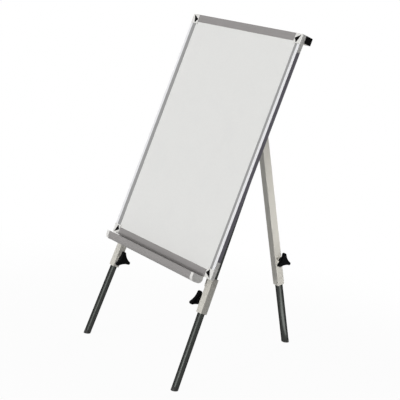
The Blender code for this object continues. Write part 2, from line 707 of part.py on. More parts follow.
def make_front_leg(side, sign, frame, finishes, bottom_rail):
    """A socket under the board's corner, its bracket and clamp, and the tube that slides in it."""
    inner = -sign
    face = SOCKET_SIDE / 2
    low = SOCKET_RISE - SOCKET_LENGTH
    shape = square_tube(SOCKET_SIDE, SOCKET_SIDE, SOCKET_WALL, SQUARE_RADIUS, "Z", low, SOCKET_RISE)
    socket = add_object(f"leg_socket_{side}", shape, finishes["cream"], frame)
    make_clamp(
        side,
        frame,
        finishes,
        carrier=socket,
        direction=inner,
        face=face,
        tube_radius=FRONT_TUBE_RADIUS,
        boss_height=FRONT_BOSS_HEIGHT,
        height=-FRONT_CLAMP_DROP,
        turn=KNOB_TURNS[side] - BOARD_LEAN,
    )

    near = face + FIT
    far = near + BRACKET_THICKNESS
    front = RAIL_DEPTH + FIT - LEG_DEPTH
    cheek = [
        (-face, -BRACKET_DROP),
        (face, -BRACKET_DROP),
        (face, BRACKET_RISE),
        (front, BRACKET_RISE),
        (front, BRACKET_FOOT),
        (-face, BRACKET_FOOT),
    ]
    shape = extrude(cheek, "X", inner * near, inner * far)
    bracket = add_object(f"socket_bracket_{side}", shape, finishes["cream"], frame)
    rear = front + BRACKET_THICKNESS
    arm = near + BRACKET_ARM
    outline = [(inner * near, front), (inner * arm, front), (inner * arm, rear), (inner * near, rear)]
    join(bracket, extrude(outline, "Z", BRACKET_FOOT, BRACKET_RISE), "arm")
    for number, inset in enumerate(BRACKET_SCREW_INSETS, start=1):
        x = inner * (far + inset)
        z = BRACKET_SCREW_RISE
        length = BRACKET_THICKNESS + 2 * FIT + SCREW_BITE
        name = f"bracket_screw_{side}_{number}"
        add_screw(name, frame, (x, rear + FIT, z), (0, 1, 0), length, finishes["zinc"])
        hole = ((x, PANEL_BACK + FIT / 2 - LEG_DEPTH, z), (x, rear + CUT_OVERRUN, z))
        drill(bracket, HOLE_RADIUS, *hole, f"hole_{number}")
        drill(bottom_rail, HOLE_RADIUS, *hole, f"{side}_bracket_hole_{number}", frame)

    shape = tube(FRONT_TUBE_RADIUS, TUBE_WALL, FOOT_HEIGHT + FIT - FRONT_REACH, FRONT_TUBE_RISE)
    add_object(f"front_tube_{side}", shape, finishes["dark"], frame)
    stop = FRONT_TUBE_RADIUS + PLUG_LIP
    make_plug(f"front_tube_plug_{side}", frame, finishes["black"], FRONT_TUBE_RISE, FRONT_TUBE_RADIUS, stop)
    make_foot(f"foot_{side}", frame, finishes["rubber"], FRONT_REACH, FRONT_TUBE_RADIUS)


def make_rear_leg(frame, finishes):
    """A square tube on the hinge bolt, and the round tube that slides in it."""
    low = REAR_UPPER_LIFT - REAR_REACH
    shape = square_tube(REAR_SIDE, REAR_SIDE, REAR_WALL, SQUARE_RADIUS, "Z", low, REAR_TUBE_TOP)
    upper = add_object("rear_upper_tube", shape, finishes["cream"], frame)
    bore = BOLT_RADIUS + BOLT_PLAY
    drill(upper, bore, (-REAR_SIDE, 0, 0), (REAR_SIDE, 0, 0), "bolt_hole")

    block_side = REAR_SIDE - 2 * (REAR_WALL + FIT)
    outline = rounded_rectangle(block_side, block_side, SQUARE_RADIUS)
    shape = extrude(outline, "Z", -HINGE_BLOCK_DEPTH, REAR_TUBE_TOP)
    block = add_object("hinge_block", shape, finishes["black"], frame)
    drill(block, bore, (-REAR_SIDE, 0, 0), (REAR_SIDE, 0, 0), "bolt_hole")

    make_clamp(
        "rear",
        frame,
        finishes,
        carrier=upper,
        direction=1,
        face=REAR_SIDE / 2,
        tube_radius=REAR_TUBE_RADIUS,
        boss_height=REAR_BOSS_HEIGHT,
        height=low + REAR_CLAMP_LIFT,
        turn=REAR_KNOB_TURN + REAR_LEAN,
    )

    top = low + REAR_TUBE_OVERLAP
    shape = tube(REAR_TUBE_RADIUS, TUBE_WALL, FOOT_HEIGHT + FIT - REAR_REACH, top)
    add_object("rear_lower_tube", shape, finishes["dark"], frame)
    make_plug("rear_tube_plug", frame, finishes["black"], top, REAR_TUBE_RADIUS, REAR_TUBE_RADIUS)
    make_foot("foot_rear", frame, finishes["rubber"], REAR_REACH, REAR_TUBE_RADIUS)


def main():
    """Build the whole easel at rest."""
    clear_scene()
    finishes = make_finishes()
    frames = make_frames()
    board = frames["board"]
    make_panel(board, finishes)
    top_rail, bottom_rail = make_rails(board, finishes)
    make_corners(board, finishes)
    make_tray(board, finishes, bottom_rail)
    crossbar = make_crossbar(board, finishes, top_rail)
    make_hinge(board, finishes, crossbar)
    for side, sign in SIDES.items():
        make_front_leg(side, sign, frames[side], finishes, bottom_rail)
    make_rear_leg(frames["rear"], finishes)


if __name__ == "__main__":
    main()
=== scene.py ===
"""Looks of the flipchart easel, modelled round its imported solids.

Units are metres. The board faces -Y, +X is to the reader's right and +Z is up.
"""

import json
import logging
from collections.abc import Callable, Iterator, Sequence
from dataclasses import dataclass, field
from enum import Enum
from math import atan2, cos, hypot, pi, radians, sin

import bmesh
import bpy
from mathutils import Matrix, Vector

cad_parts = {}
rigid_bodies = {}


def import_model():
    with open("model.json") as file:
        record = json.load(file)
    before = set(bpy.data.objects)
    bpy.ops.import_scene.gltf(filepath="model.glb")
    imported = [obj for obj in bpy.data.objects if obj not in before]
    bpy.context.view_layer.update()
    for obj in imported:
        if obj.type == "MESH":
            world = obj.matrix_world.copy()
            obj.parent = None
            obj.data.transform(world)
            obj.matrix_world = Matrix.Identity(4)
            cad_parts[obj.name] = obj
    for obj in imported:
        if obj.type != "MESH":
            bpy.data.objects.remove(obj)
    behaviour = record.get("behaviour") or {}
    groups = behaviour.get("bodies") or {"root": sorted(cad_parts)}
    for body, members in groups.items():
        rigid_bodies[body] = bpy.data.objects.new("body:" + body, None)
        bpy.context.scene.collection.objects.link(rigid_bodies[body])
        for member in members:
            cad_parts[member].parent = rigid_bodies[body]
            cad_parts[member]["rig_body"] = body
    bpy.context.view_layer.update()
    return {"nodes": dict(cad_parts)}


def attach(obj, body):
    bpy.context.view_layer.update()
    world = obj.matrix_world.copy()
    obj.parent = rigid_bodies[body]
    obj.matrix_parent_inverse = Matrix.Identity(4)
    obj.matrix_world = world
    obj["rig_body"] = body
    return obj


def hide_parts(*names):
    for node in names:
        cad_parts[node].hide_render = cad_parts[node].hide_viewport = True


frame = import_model()

LOG = logging.getLogger("easel")

Flat = tuple[float, float]
Point = tuple[float, float, float]
Colour = tuple[float, float, float, float]
Test = Callable[[Vector, Vector], bool]
Piece = bpy.types.Object
Tree = bpy.types.NodeTree
Socket = bpy.types.NodeSocket

ORIGIN: Point = (0.0, 0.0, 0.0)
ONES: Point = (1.0, 1.0, 1.0)
# The gap between neighbouring pieces
FIT = 0.0003
# Keeps two faces of a union out of one plane
SLIVER = FIT / 6
NEAR = 1e-6
# The cosine past which a normal or an edge counts as lying along an axis
ALONG = 0.9
SMOOTH_ANGLE = radians(35)
# An edge sharper than this is a corner, and not part of a rounding
CORNER_ANGLE = radians(60)
# What is taken off the sawn edge of a tube or a rail
BURR = 0.0003
ROUND = 64
SMALL_ROUND = 32
LEAN = radians(16.1)
# A mix node has sockets for every type, and these are the ones that mix colours
MIX_SHARE, MIX_A, MIX_B, MIX_OUT = 0, 6, 7, 2
MIRROR_X = Matrix.Diagonal((-1, 1, 1, 1))
# From a bench where X is depth, Y is height and Z runs across, to a frame with X across and Z up
ON_EDGE = Matrix(((0, 0, 1, 0), (1, 0, 0, 0), (0, 1, 0, 0), (0, 0, 0, 1)))


class Side(Enum):
    """The reader's left or right, as the sign of X."""

    LEFT = -1
    RIGHT = 1

    @property
    def word(self) -> str:
        """The side's name as the solids spell it."""
        return self.name.lower()


class Body(Enum):
    """The bodies that the pieces ride on."""

    BOARD = "board"
    LEFT_LEG = "left_leg"
    RIGHT_LEG = "right_leg"
    REAR_LEG = "rear_leg"
    REAR_EXTENSION = "rear_extension"
    LEFT_KNOB = "left_knob"
    RIGHT_KNOB = "right_knob"
    REAR_KNOB = "rear_knob"


class Primitive(Enum):
    """The primitives that pieces start from."""

    PLANE = "plane"
    CUBE = "cube"
    CIRCLE = "circle"
    CYLINDER = "cylinder"

    def add(self, **settings: object) -> None:
        """Add the primitive to the scene.

        Args:
            settings: What its operator takes.
        """
        operators = {
            Primitive.PLANE: bpy.ops.mesh.primitive_plane_add,
            Primitive.CUBE: bpy.ops.mesh.primitive_cube_add,
            Primitive.CIRCLE: bpy.ops.mesh.primitive_circle_add,
            Primitive.CYLINDER: bpy.ops.mesh.primitive_cylinder_add,
        }
        operators[self](**settings)


class Pick(Enum):
    """What a selection in edit mode takes."""

    VERT = "VERT"
    EDGE = "EDGE"
    FACE = "FACE"


class Boolean(Enum):
    """What a piece does with the blanks that it is combined with."""

    UNION = "UNION"
    DIFFERENCE = "DIFFERENCE"


class Growth(Enum):
    """Where a sheet's wall goes."""

    INWARDS = -1
    BOTH_SIDES = 0


def arc(centre: Flat, radius: float, start: float, end: float, steps: int = 12) -> list[Flat]:
    """Points along a circular arc.

    Args:
        centre: Middle of the arc.
        radius: Its radius.
        start: Angle of the first point.
        end: Angle of the last point.
        steps: How many stretches the arc has.

    Returns:
        The points in order.
    """
    angles = [start + (end - start) * i / steps for i in range(steps + 1)]
    return [(centre[0] + radius * cos(a), centre[1] + radius * sin(a)) for a in angles]


class Blank:
    """One piece on the bench: a primitive that is shaped with Blender's own tools."""

    def __init__(
        self,
        name: str,
        kind: Primitive,
        location: Point = ORIGIN,
        turn: Point = ORIGIN,
        scale: Point = ONES,
        **size: object,
    ) -> None:
        """Add a primitive at its size and place and open it in edit mode.

        Args:
            name: Name of the piece.
            kind: The primitive it starts from.
            location: Where its middle goes.
            turn: Its rotation about X, Y and Z.
            scale: Its size along its own axes, for a primitive of size one.
            size: The primitive's own settings.
        """
        leave_edit_mode()
        bpy.ops.object.select_all(action="DESELECT")
        kind.add(location=location, rotation=turn, **size)
        self.piece: Piece = bpy.context.object
        self.piece.name = name
        self.piece.scale = scale
        bpy.ops.object.transform_apply(location=True, rotation=True, scale=True)
        bpy.ops.object.mode_set(mode="EDIT")
        bpy.ops.mesh.select_all(action="DESELECT")

    @classmethod
    def block(cls, name: str, low: Point, high: Point) -> "Blank":
        """Start from a cube between two corners.

        Args:
            name: Name of the piece.
            low: Its lowest corner.
            high: Its highest corner.

        Returns:
            The opened piece.
        """
        middle = tuple((a + b) / 2 for a, b in zip(low, high))
        sides = tuple(b - a for a, b in zip(low, high))
        return cls(name, Primitive.CUBE, location=middle, scale=sides, size=1)

    @classmethod
    def strip(cls, name: str, path: Sequence[Flat], start: float, end: float) -> "Blank":
        """Bend a sheet along X: a plane whose edge is extruded from point to point.

        Args:
            name: Name of the piece.
            path: Points of (y, z) that the sheet follows.
            start: Its first X.
            end: Its last X.

        Returns:
            The opened piece, with no thickness yet.
        """
        (y, z), (next_y, next_z) = path[0], path[1]
        run = hypot(next_y - y, next_z - z)
        sheet = cls(
            name,
            Primitive.PLANE,
            location=((start + end) / 2, (y + next_y) / 2, (z + next_z) / 2),
            turn=(atan2(next_z - z, next_y - y), 0, 0),
            scale=(end - start, run, 1),
            size=1,
        )
        y, z = next_y, next_z
        sheet.pick(
            Pick.EDGE,
            lambda mid, way: hypot(mid.y - y, mid.z - z) < NEAR and abs(way.x) > ALONG,
        )
        for next_y, next_z in path[2:]:
            sheet.extrude((0, next_y - y, next_z - z))
            y, z = next_y, next_z
        return sheet

    @classmethod
    def prism(cls, name: str, outline: Sequence[Flat], low: float, high: float) -> "Blank":
        """Start from a filled circle, drag its points to an outline and extrude it along Z.

        Args:
            name: Name of the piece.
            outline: Points of (x, y), counter-clockwise.
            low: Z of the lower face.
            high: Z of the upper face.

        Returns:
            The opened piece.
        """
        count = len(outline)
        plate = cls(
            name, Primitive.CIRCLE, location=(0, 0, low), vertices=count, radius=1, fill_type="NGON"
        )
        corners = [vert.co.copy() for vert in bmesh.from_edit_mesh(plate.piece.data).verts]
        corners.sort(key=lambda co: atan2(co.y, co.x))
        for corner, (x, y) in zip(corners, outline):
            plate.pick(Pick.VERT, lambda mid, _, corner=corner: (mid - corner).length < NEAR)
            plate.move((x - corner.x, y - corner.y, 0))
        plate.pick(Pick.FACE, lambda mid, _: True)
        plate.extrude((0, 0, high - low))
        plate.face_outwards()
        return plate

    @classmethod
    def turned(cls, name: str, profile: Sequence[Flat], segments: int = ROUND) -> "Blank":
        """Start from a filled circle and extrude and scale it up a profile about Z.

        Args:
            name: Name of the piece.
            profile: Points of (radius, z) from the bottom up.
            segments: Sides of the circle.

        Returns:
            The opened piece, closed at both ends.
        """
        radius, z = profile[0]
        lathe = cls(
            name,
            Primitive.CIRCLE,
            location=(0, 0, z),
            vertices=segments,
            radius=radius,
            fill_type="NGON",
        )
        lathe.pick(Pick.FACE, lambda mid, _: True)
        for next_radius, next_z in profile[1:]:
            lathe.extrude((0, 0, next_z - z))
            ratio = next_radius / radius
            lathe.resize((ratio, ratio, 1), (0, 0, next_z))
            radius, z = next_radius, next_z
        lathe.face_outwards()
        return lathe

    def open(self) -> None:
        """Go on shaping this piece in edit mode."""
        if self.piece.mode != "EDIT":
            leave_edit_mode()
            select_only(self.piece)
            bpy.ops.object.mode_set(mode="EDIT")

    def pick(self, kind: Pick, test: Test) -> None:
        """Select what passes a test, and nothing else.

        Args:
            kind: Points, edges or faces.
            test: Takes the middle, and the normal or an edge's direction.
        """
        self.open()
        bpy.ops.mesh.select_mode(type=kind.value)
        bpy.ops.mesh.select_all(action="DESELECT")
        mesh = bmesh.from_edit_mesh(self.piece.data)
        if kind is Pick.VERT:
            items = [(vert, vert.co, vert.normal) for vert in mesh.verts]
        elif kind is Pick.EDGE:
            ends = [(edge, *[vert.co for vert in edge.verts]) for edge in mesh.edges]
            items = [(edge, (a + b) / 2, (b - a).normalized()) for edge, a, b in ends]
        else:
            items = [(face, face.calc_center_median(), face.normal) for face in mesh.faces]
        for item, middle, direction in items:
            if test(middle, direction):
                item.select_set(True)
        mesh.select_flush_mode()
        bmesh.update_edit_mesh(self.piece.data)

    def extrude(self, shift: Point) -> None:
        """Extrude the selection."""
        bpy.ops.mesh.extrude_region_move(TRANSFORM_OT_translate={"value": shift})

    def move(self, shift: Point) -> None:
        """Move the selection."""
        bpy.ops.transform.translate(value=shift)

    def resize(self, ratio: Point, centre: Point) -> None:
        """Scale the selection about a point."""
        bpy.ops.transform.resize(value=ratio, center_override=centre)

    def inset(self, border: float, depth: float = 0.0) -> None:
        """Inset the selected faces, and raise them by a depth."""
        bpy.ops.mesh.inset(thickness=border, depth=depth)

    def bevel(self, width: float, steps: int) -> None:
        """Round the selected edges."""
        bpy.ops.mesh.bevel(offset=width, segments=steps, affect="EDGES")

    def delete_faces(self) -> None:
        """Delete the selected faces."""
        bpy.ops.mesh.delete(type="FACE")

    def face_outwards(self) -> None:
        """Close doubles and turn every face outwards."""
        self.open()
        bpy.ops.mesh.select_all(action="SELECT")
        bpy.ops.mesh.remove_doubles(threshold=NEAR)
        bpy.ops.mesh.normals_make_consistent(inside=False)
        bpy.ops.mesh.select_all(action="DESELECT")

    def modify(self, kind: str, **settings: object) -> None:
        """Apply a modifier.

        Args:
            kind: Blender's name for it.
            settings: Its settings.
        """
        leave_edit_mode()
        select_only(self.piece)
        modifier = self.piece.modifiers.new(kind.title(), kind)
        for key, value in settings.items():
            setattr(modifier, key, value)
        bpy.ops.object.modifier_apply(modifier=modifier.name)

    def thicken(self, wall: float, growth: Growth) -> None:
        """Give a sheet its wall."""
        self.modify("SOLIDIFY", thickness=wall, offset=growth.value, use_even_offset=True)

    def soften(self, width: float, steps: int = 2, angle: float = radians(40)) -> None:
        """Round every edge that is sharper than an angle."""
        self.modify("BEVEL", width=width, segments=steps, limit_method="ANGLE", angle_limit=angle)

    def combine(self, operation: Boolean, *others: "Blank") -> None:
        """Join other blanks to this one, or cut them out of it.

        Args:
            operation: Which of the two.
            others: The blanks, which are used up.
        """
        for other in others:
            leave_edit_mode()
            self.modify("BOOLEAN", operation=operation.value, solver="EXACT", object=other.piece)
            bpy.data.objects.remove(other.piece)

    def done(self, place: Matrix, smooth: float = SMOOTH_ANGLE) -> Piece:
        """Put the piece in its place, with that place kept in its mesh.

        Args:
            place: From the frame it was modelled in to the world.
            smooth: Edges gentler than this are shaded smooth.

        Returns:
            The finished piece.
        """
        leave_edit_mode()
        select_only(self.piece)
        self.piece.matrix_world = place
        bpy.ops.object.transform_apply(location=True, rotation=True, scale=True)
        bpy.ops.object.shade_smooth_by_angle(angle=smooth)
        return self.piece


def leave_edit_mode() -> None:
    """Go back to object mode, if a piece is open."""
    active = bpy.context.view_layer.objects.active
    if active and active.mode == "EDIT":
        bpy.ops.object.mode_set(mode="OBJECT")


def select_only(piece: Piece) -> None:
    """Make one object the whole selection.

    Args:
        piece: The object.
    """
    bpy.ops.object.select_all(action="DESELECT")
    piece.select_set(True)
    bpy.context.view_layer.objects.active = piece


def copied(source: Piece, name: str, move: Matrix) -> Piece:
    """Copy a finished piece that rides on nothing yet.

    Args:
        source: The piece.
        name: Name of the copy.
        move: How the copy moves in the world. A mirrored copy keeps its faces outwards.

    Returns:
        The copy, with a mesh of its own.
    """
    select_only(source)
    bpy.ops.object.duplicate(linked=False)
    twin = bpy.context.object
    twin.name = name
    twin.data.transform(move)
    if move.determinant() < 0:
        bpy.ops.object.mode_set(mode="EDIT")
        bpy.ops.mesh.select_all(action="SELECT")
        bpy.ops.mesh.flip_normals()
        bpy.ops.object.mode_set(mode="OBJECT")
    return twin


def linear(colour: str) -> Colour:
    """Turn an sRGB hex colour into linear red, green, blue and alpha.

    Args:
        colour: Such as "#C0FFEE".

    Returns:
        The linear colour.
    """
    values = [int(colour[i : i + 2], 16) / 255 for i in (1, 3, 5)]
    red, green, blue = [v / 12.92 if v <= 0.04045 else ((v + 0.055) / 1.055) ** 2.4 for v in values]
    return red, green, blue, 1.0


def per_metre(millimetres: float) -> float:
    """How many cells of this size fit in a metre, which is a texture's scale."""
    return 1000 / millimetres


def add_node(
    tree: Tree,
    kind: str,
    settings: dict[str, object] | None = None,
    links: dict[str | int, object] | None = None,
) -> bpy.types.Node:
    """Add a shader node.

    Args:
        tree: The node tree.
        kind: The node's type.
        settings: Attributes of the node.
        links: A value or another node's output for each input.

    Returns:
        The node.
    """
    node = tree.nodes.new(kind)
    for key, value in (settings or {}).items():
        setattr(node, key, value)
    for key, value in (links or {}).items():
        if isinstance(value, bpy.types.NodeSocket):
            tree.links.new(value, node.inputs[key])
        else:
            node.inputs[key].default_value = value
    return node


@dataclass(frozen=True, kw_only=True)
class Finish:
    """A surface with two close tones, a grain that also moves its gloss and relief, and some wear."""

    name: str
    slot: str
    colour: str
    tint: str
    roughness: float
    gloss_swing: float = 0.05
    metallic: float = 0.0
    specular: float = 0.5
    rim: str = "#FFFFFF"
    grain_mm: Point = (1.0, 1.0, 1.0)
    grain_turn: float = 0.0
    relief_mm: float = 0.02
    wear: str = "#808080"
    wear_mm: float = 25.0
    wear_share: float = 0.0
    wear_range: Flat = (0.5, 0.85)

    def material(self) -> bpy.types.Material:
        """The finish's material, made the first time it is asked for."""
        found = bpy.data.materials.get(self.name)
        return found or self.make()

    def make(self) -> bpy.types.Material:
        """Make the material.

        Returns:
            A node material with the finish's name.
        """
        material = bpy.data.materials.new(self.name)
        material.use_nodes = True
        tree = material.node_tree
        shader = tree.nodes["Principled BSDF"]
        shader.inputs["Metallic"].default_value = self.metallic
        shader.inputs["Specular IOR Level"].default_value = self.specular
        shader.inputs["Specular Tint"].default_value = linear(self.rim)
        place = add_node(tree, "ShaderNodeTexCoord").outputs["Object"]
        grain = self.grain(tree, place)
        tones = {MIX_SHARE: grain, MIX_A: self.tone(tree, place), MIX_B: self.shade(tree, place)}
        tone = add_node(tree, "ShaderNodeMix", {"data_type": "RGBA"}, tones).outputs[MIX_OUT]
        wear = {MIX_SHARE: self.worn(tree, place), MIX_A: tone, MIX_B: linear(self.wear)}
        colour = add_node(tree, "ShaderNodeMix", {"data_type": "RGBA"}, wear).outputs[MIX_OUT]
        gloss = add_node(
            tree,
            "ShaderNodeMapRange",
            links={
                "Value": grain,
                "To Min": self.roughness - self.gloss_swing,
                "To Max": self.roughness + self.gloss_swing,
            },
        )
        relief = add_node(
            tree,
            "ShaderNodeBump",
            links={"Height": grain, "Strength": 1.0, "Distance": self.relief_mm / 1000},
        )
        tree.links.new(colour, shader.inputs["Base Color"])
        tree.links.new(gloss.outputs["Result"], shader.inputs["Roughness"])
        tree.links.new(relief.outputs["Normal"], shader.inputs["Normal"])
        return material

    def tone(self, tree: Tree, place: Socket) -> object:
        """The main colour."""
        return linear(self.colour)

    def shade(self, tree: Tree, place: Socket) -> object:
        """The colour in the grain's other half."""
        return linear(self.tint)

    def stretched(self, tree: Tree, place: Socket) -> Socket:
        """Coordinates in which one grain cell has a side of one.

        Args:
            tree: The material's nodes.
            place: Object coordinates.

        Returns:
            The turned and scaled coordinates.
        """
        turn = {"Vector": place, "Rotation": (self.grain_turn, 0, 0)}
        turned = add_node(tree, "ShaderNodeMapping", links=turn).outputs["Vector"]
        scale = tuple(per_metre(size) for size in self.grain_mm)
        scaled = add_node(tree, "ShaderNodeMapping", links={"Vector": turned, "Scale": scale})
        return scaled.outputs["Vector"]

    def grain(self, tree: Tree, place: Socket) -> Socket:
        """A noise from 0 to 1 in cells of the grain's size.

        Args:
            tree: The material's nodes.
            place: Object coordinates.

        Returns:
            The noise's output.
        """
        cells = self.stretched(tree, place)
        noise = add_node(
            tree,
            "ShaderNodeTexNoise",
            links={"Vector": cells, "Scale": 1.0, "Detail": 3.0, "Roughness": 0.55},
        )
        return noise.outputs["Fac"]

    def worn(self, tree: Tree, place: Socket) -> Socket:
        """Where the surface is worn, from 0 to 1.

        Args:
            tree: The material's nodes.
            place: Object coordinates.

        Returns:
            The wear's output.
        """
        scale = per_metre(self.wear_mm)
        patches = add_node(
            tree,
            "ShaderNodeTexNoise",
            links={"Vector": place, "Scale": scale, "Detail": 8.0, "Roughness": 0.7},
        )
        least, most = self.wear_range
        spread = add_node(
            tree,
            "ShaderNodeMapRange",
            links={
                "Value": patches.outputs["Fac"],
                "From Min": least,
                "From Max": most,
                "To Max": self.wear_share,
            },
        )
        return spread.outputs["Result"]


@dataclass(frozen=True, kw_only=True)
class Spangled(Finish):
    """A plated or cast skin whose crystals meet in flat cells."""

    def grain(self, tree: Tree, place: Socket) -> Socket:
        """Flat cells, each with its own tone.

        Args:
            tree: The material's nodes.
            place: Object coordinates.

        Returns:
            A value from 0 to 1 for each cell.
        """
        sized = {"Vector": self.stretched(tree, place), "Scale": 1.0}
        cells = add_node(tree, "ShaderNodeTexVoronoi", links=sized)
        split = add_node(tree, "ShaderNodeSeparateColor", links={"Color": cells.outputs["Color"]})
        return split.outputs["Red"]


@dataclass(frozen=True, kw_only=True)
class UprightRail(Finish):
    """Extruded rail upright: grey lip, painted highlight on the flat, painted shade on the outer
    side.

    The brushing runs up the rail; the pale flat is a painted reflection, the dark side painted shade.
    """

    half_width: float = 0.355
    flat: float = 0.0145
    web: float = 0.0005
    flat_painted_highlight: str = "#ECECEE"
    flat_tint: str = "#E4E4E6"
    web_painted_shade: str = "#625F68"
    web_painted_shade_tint: str = "#54525A"

    def banded(self, tree: Tree, place: Socket, lip: str, flat: str, web: str) -> Socket:
        """A colour for each part of the rail's section, by its distance from the board's middle.

        Args:
            tree: The material's nodes.
            place: Object coordinates.
            lip: Colour of the sloping lip.
            flat: Painted highlight colour of the flat face.
            web: Painted shade colour of the outer side.

        Returns:
            The colour's output.
        """
        across = add_node(tree, "ShaderNodeSeparateXYZ", links={"Vector": place}).outputs["X"]
        out = add_node(tree, "ShaderNodeMath", {"operation": "ABSOLUTE"}, {0: across}).outputs[0]
        colour: object = linear(lip)
        # The flat gets a painted highlight and the outer side painted shade
        for start, shade in ((self.flat, flat), (self.web, web)):
            limit = {0: out, 1: self.half_width - start}
            past = add_node(tree, "ShaderNodeMath", {"operation": "GREATER_THAN"}, limit)
            band = {MIX_SHARE: past.outputs[0], MIX_A: colour, MIX_B: linear(shade)}
            colour = add_node(tree, "ShaderNodeMix", {"data_type": "RGBA"}, band).outputs[MIX_OUT]
        return colour

    def tone(self, tree: Tree, place: Socket) -> object:
        """The main colour of each part, with the painted highlight and painted shade."""
        return self.banded(tree, place, self.colour, self.flat_painted_highlight, self.web_painted_shade)

    def shade(self, tree: Tree, place: Socket) -> object:
        """The grain's other colour on each part, with the painted highlight and painted shade."""
        return self.banded(tree, place, self.tint, self.flat_tint, self.web_painted_shade_tint)


# White enamel baked on steel: an even, slightly glassy skin with a faint orange peel.
# The peel is about 3 mm in life and is drawn at 9 mm.
ENAMEL = Finish(
    name="baked_white_enamel",
    slot="white_enamel",
    colour="#E5E5E3",
    tint="#E1E1DF",
    roughness=0.34,
    gloss_swing=0.04,
    grain_mm=(9.0, 9.0, 9.0),
    relief_mm=0.03,
    wear="#D8D8D8",
    wear_mm=140.0,
    wear_share=0.35,
)
# Pressed wood fibre, seen only at its cut edges. Its flattened fibres are up to 6 mm long.
FIBREBOARD = Finish(
    name="pressed_fibreboard",
    slot="fibreboard",
    colour="#B08D62",
    tint="#8C6B45",
    roughness=0.9,
    grain_mm=(6.0, 1.5, 1.5),
    relief_mm=0.2,
)
# Rolled aluminium sheet, left as it came from the mill: dull, with faint lines along the roll.
# The lines are under 0.5 mm apart and are drawn at 3 mm.
MILL_SHEET = Finish(
    name="rolled_mill_aluminium",
    slot="mill_aluminium",
    colour="#AEB0B1",
    tint="#A2A4A6",
    roughness=0.5,
    gloss_swing=0.08,
    metallic=0.6,
    grain_mm=(160.0, 3.0, 3.0),
    relief_mm=0.01,
    wear="#BFC1C2",
    wear_mm=200.0,
    wear_share=0.5,
)
# Extruded aluminium, brushed lengthwise and clear anodised: satin grey with fine lines along it.
# Real brush lines are about 0.1 mm apart; they are drawn at 2 mm so that they show.
ACROSS_RAIL = Finish(
    name="brushed_aluminium_across",
    slot="brushed_aluminium",
    colour="#999695",
    tint="#8A8786",
    roughness=0.5,
    gloss_swing=0.06,
    metallic=0.35,
    grain_mm=(150.0, 2.0, 2.0),
    grain_turn=LEAN,
    relief_mm=0.01,
    wear="#9E9C9C",
    wear_mm=60.0,
    wear_share=0.4,
)
# The same extrusion, standing upright, with a painted highlight on its flat and painted shade on its
# side.
UPRIGHT_RAIL = UprightRail(
    name="brushed_aluminium_upright",
    slot="brushed_aluminium",
    colour="#9E9E9E",
    tint="#8E8E8E",
    roughness=0.4,
    gloss_swing=0.06,
    metallic=0.35,
    grain_mm=(2.0, 2.0, 150.0),
    grain_turn=LEAN,
    relief_mm=0.01,
)
# Injection-moulded ABS in a warm pale grey: satin, with a fine spark-eroded grain.
# The grain is about 0.3 mm in life and is drawn at 1.5 mm.
PALE_ABS = Finish(
    name="moulded_pale_abs",
    slot="pale_plastic",
    colour="#E6E5E2",
    tint="#DEDDDA",
    roughness=0.45,
    grain_mm=(1.5, 1.5, 1.5),
    relief_mm=0.03,
    wear="#D8D6CE",
    wear_mm=18.0,
    wear_share=0.4,
)
# The same moulding in black, rubbed a little paler in places.
BLACK_ABS = Finish(
    name="moulded_black_abs",
    slot="black_plastic",
    colour="#0A0A0B",
    tint="#060607",
    roughness=0.5,
    specular=0.03,
    grain_mm=(1.5, 1.5, 1.5),
    relief_mm=0.04,
    wear="#161617",
    wear_mm=14.0,
    wear_share=0.4,
)
# Cream powder coat on steel tube: even and satin, with an orange peel of about 2 mm.
POWDER_COAT = Finish(
    name="cream_powder_coat",
    slot="cream_paint",
    colour="#CFCCC4",
    tint="#C8C5BC",
    roughness=0.4,
    gloss_swing=0.04,
    grain_mm=(2.0, 2.0, 2.0),
    relief_mm=0.04,
    wear="#B4B0A6",
    wear_mm=30.0,
    wear_share=0.35,
)
# Drawn steel tube under a thin dark lacquer: the metal glints through it but its rim stays dark.
# The draw lines are under 0.2 mm apart and are drawn at 1.6 mm.
DARK_LACQUER = Finish(
    name="dark_lacquered_steel",
    slot="dark_grey_paint",
    colour="#3E403E",
    tint="#343634",
    roughness=0.32,
    gloss_swing=0.05,
    metallic=0.9,
    specular=0.3,
    rim="#484848",
    grain_mm=(1.6, 120.0, 120.0),
    relief_mm=0.01,
    wear="#4A4C4A",
    wear_mm=22.0,
    wear_share=0.4,
)
# Moulded black rubber, greyed and polished by use, with dust in patches.
# The mould's grain is about 0.2 mm and is drawn at 1.2 mm.
RUBBER = Finish(
    name="moulded_black_rubber",
    slot="black_rubber",
    colour="#2A2A28",
    tint="#222221",
    roughness=0.45,
    specular=0.4,
    grain_mm=(1.2, 1.2, 1.2),
    relief_mm=0.05,
    wear="#3A3936",
    wear_mm=8.0,
    wear_share=0.4,
)
# Zinc plate: bluish and bright, with crystals that are under 1 mm across and are drawn at 2.5 mm.
ZINC = Spangled(
    name="bright_zinc_plate",
    slot="zinc_plate",
    colour="#B7BBC0",
    tint="#A2A7AD",
    roughness=0.34,
    gloss_swing=0.08,
    metallic=0.9,
    grain_mm=(2.5, 2.5, 2.5),
    relief_mm=0.01,
)


def even_shading(piece: Piece) -> None:
    """Let the larger face set the normal where it meets a rounded edge, so that it shades evenly.

    Args:
        piece: The finished piece.
    """
    leave_edit_mode()
    select_only(piece)
    modifier = piece.modifiers.new("even_shading", "WEIGHTED_NORMAL")
    modifier.keep_sharp = True
    bpy.ops.object.modifier_apply(modifier=modifier.name)


def fit(piece: Piece, finish: Finish, body: Body, *nodes: str) -> Piece:
    """Dress a new piece, let it stand for its solids and put it on its body.

    Args:
        piece: The finished piece.
        finish: Its finish.
        body: The body it rides on.
        nodes: The solids it stands for.

    Returns:
        The same piece.
    """
    even_shading(piece)
    piece.data.materials.clear()
    piece.data.materials.append(finish.material())
    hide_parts(*nodes)
    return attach(piece, body.value)


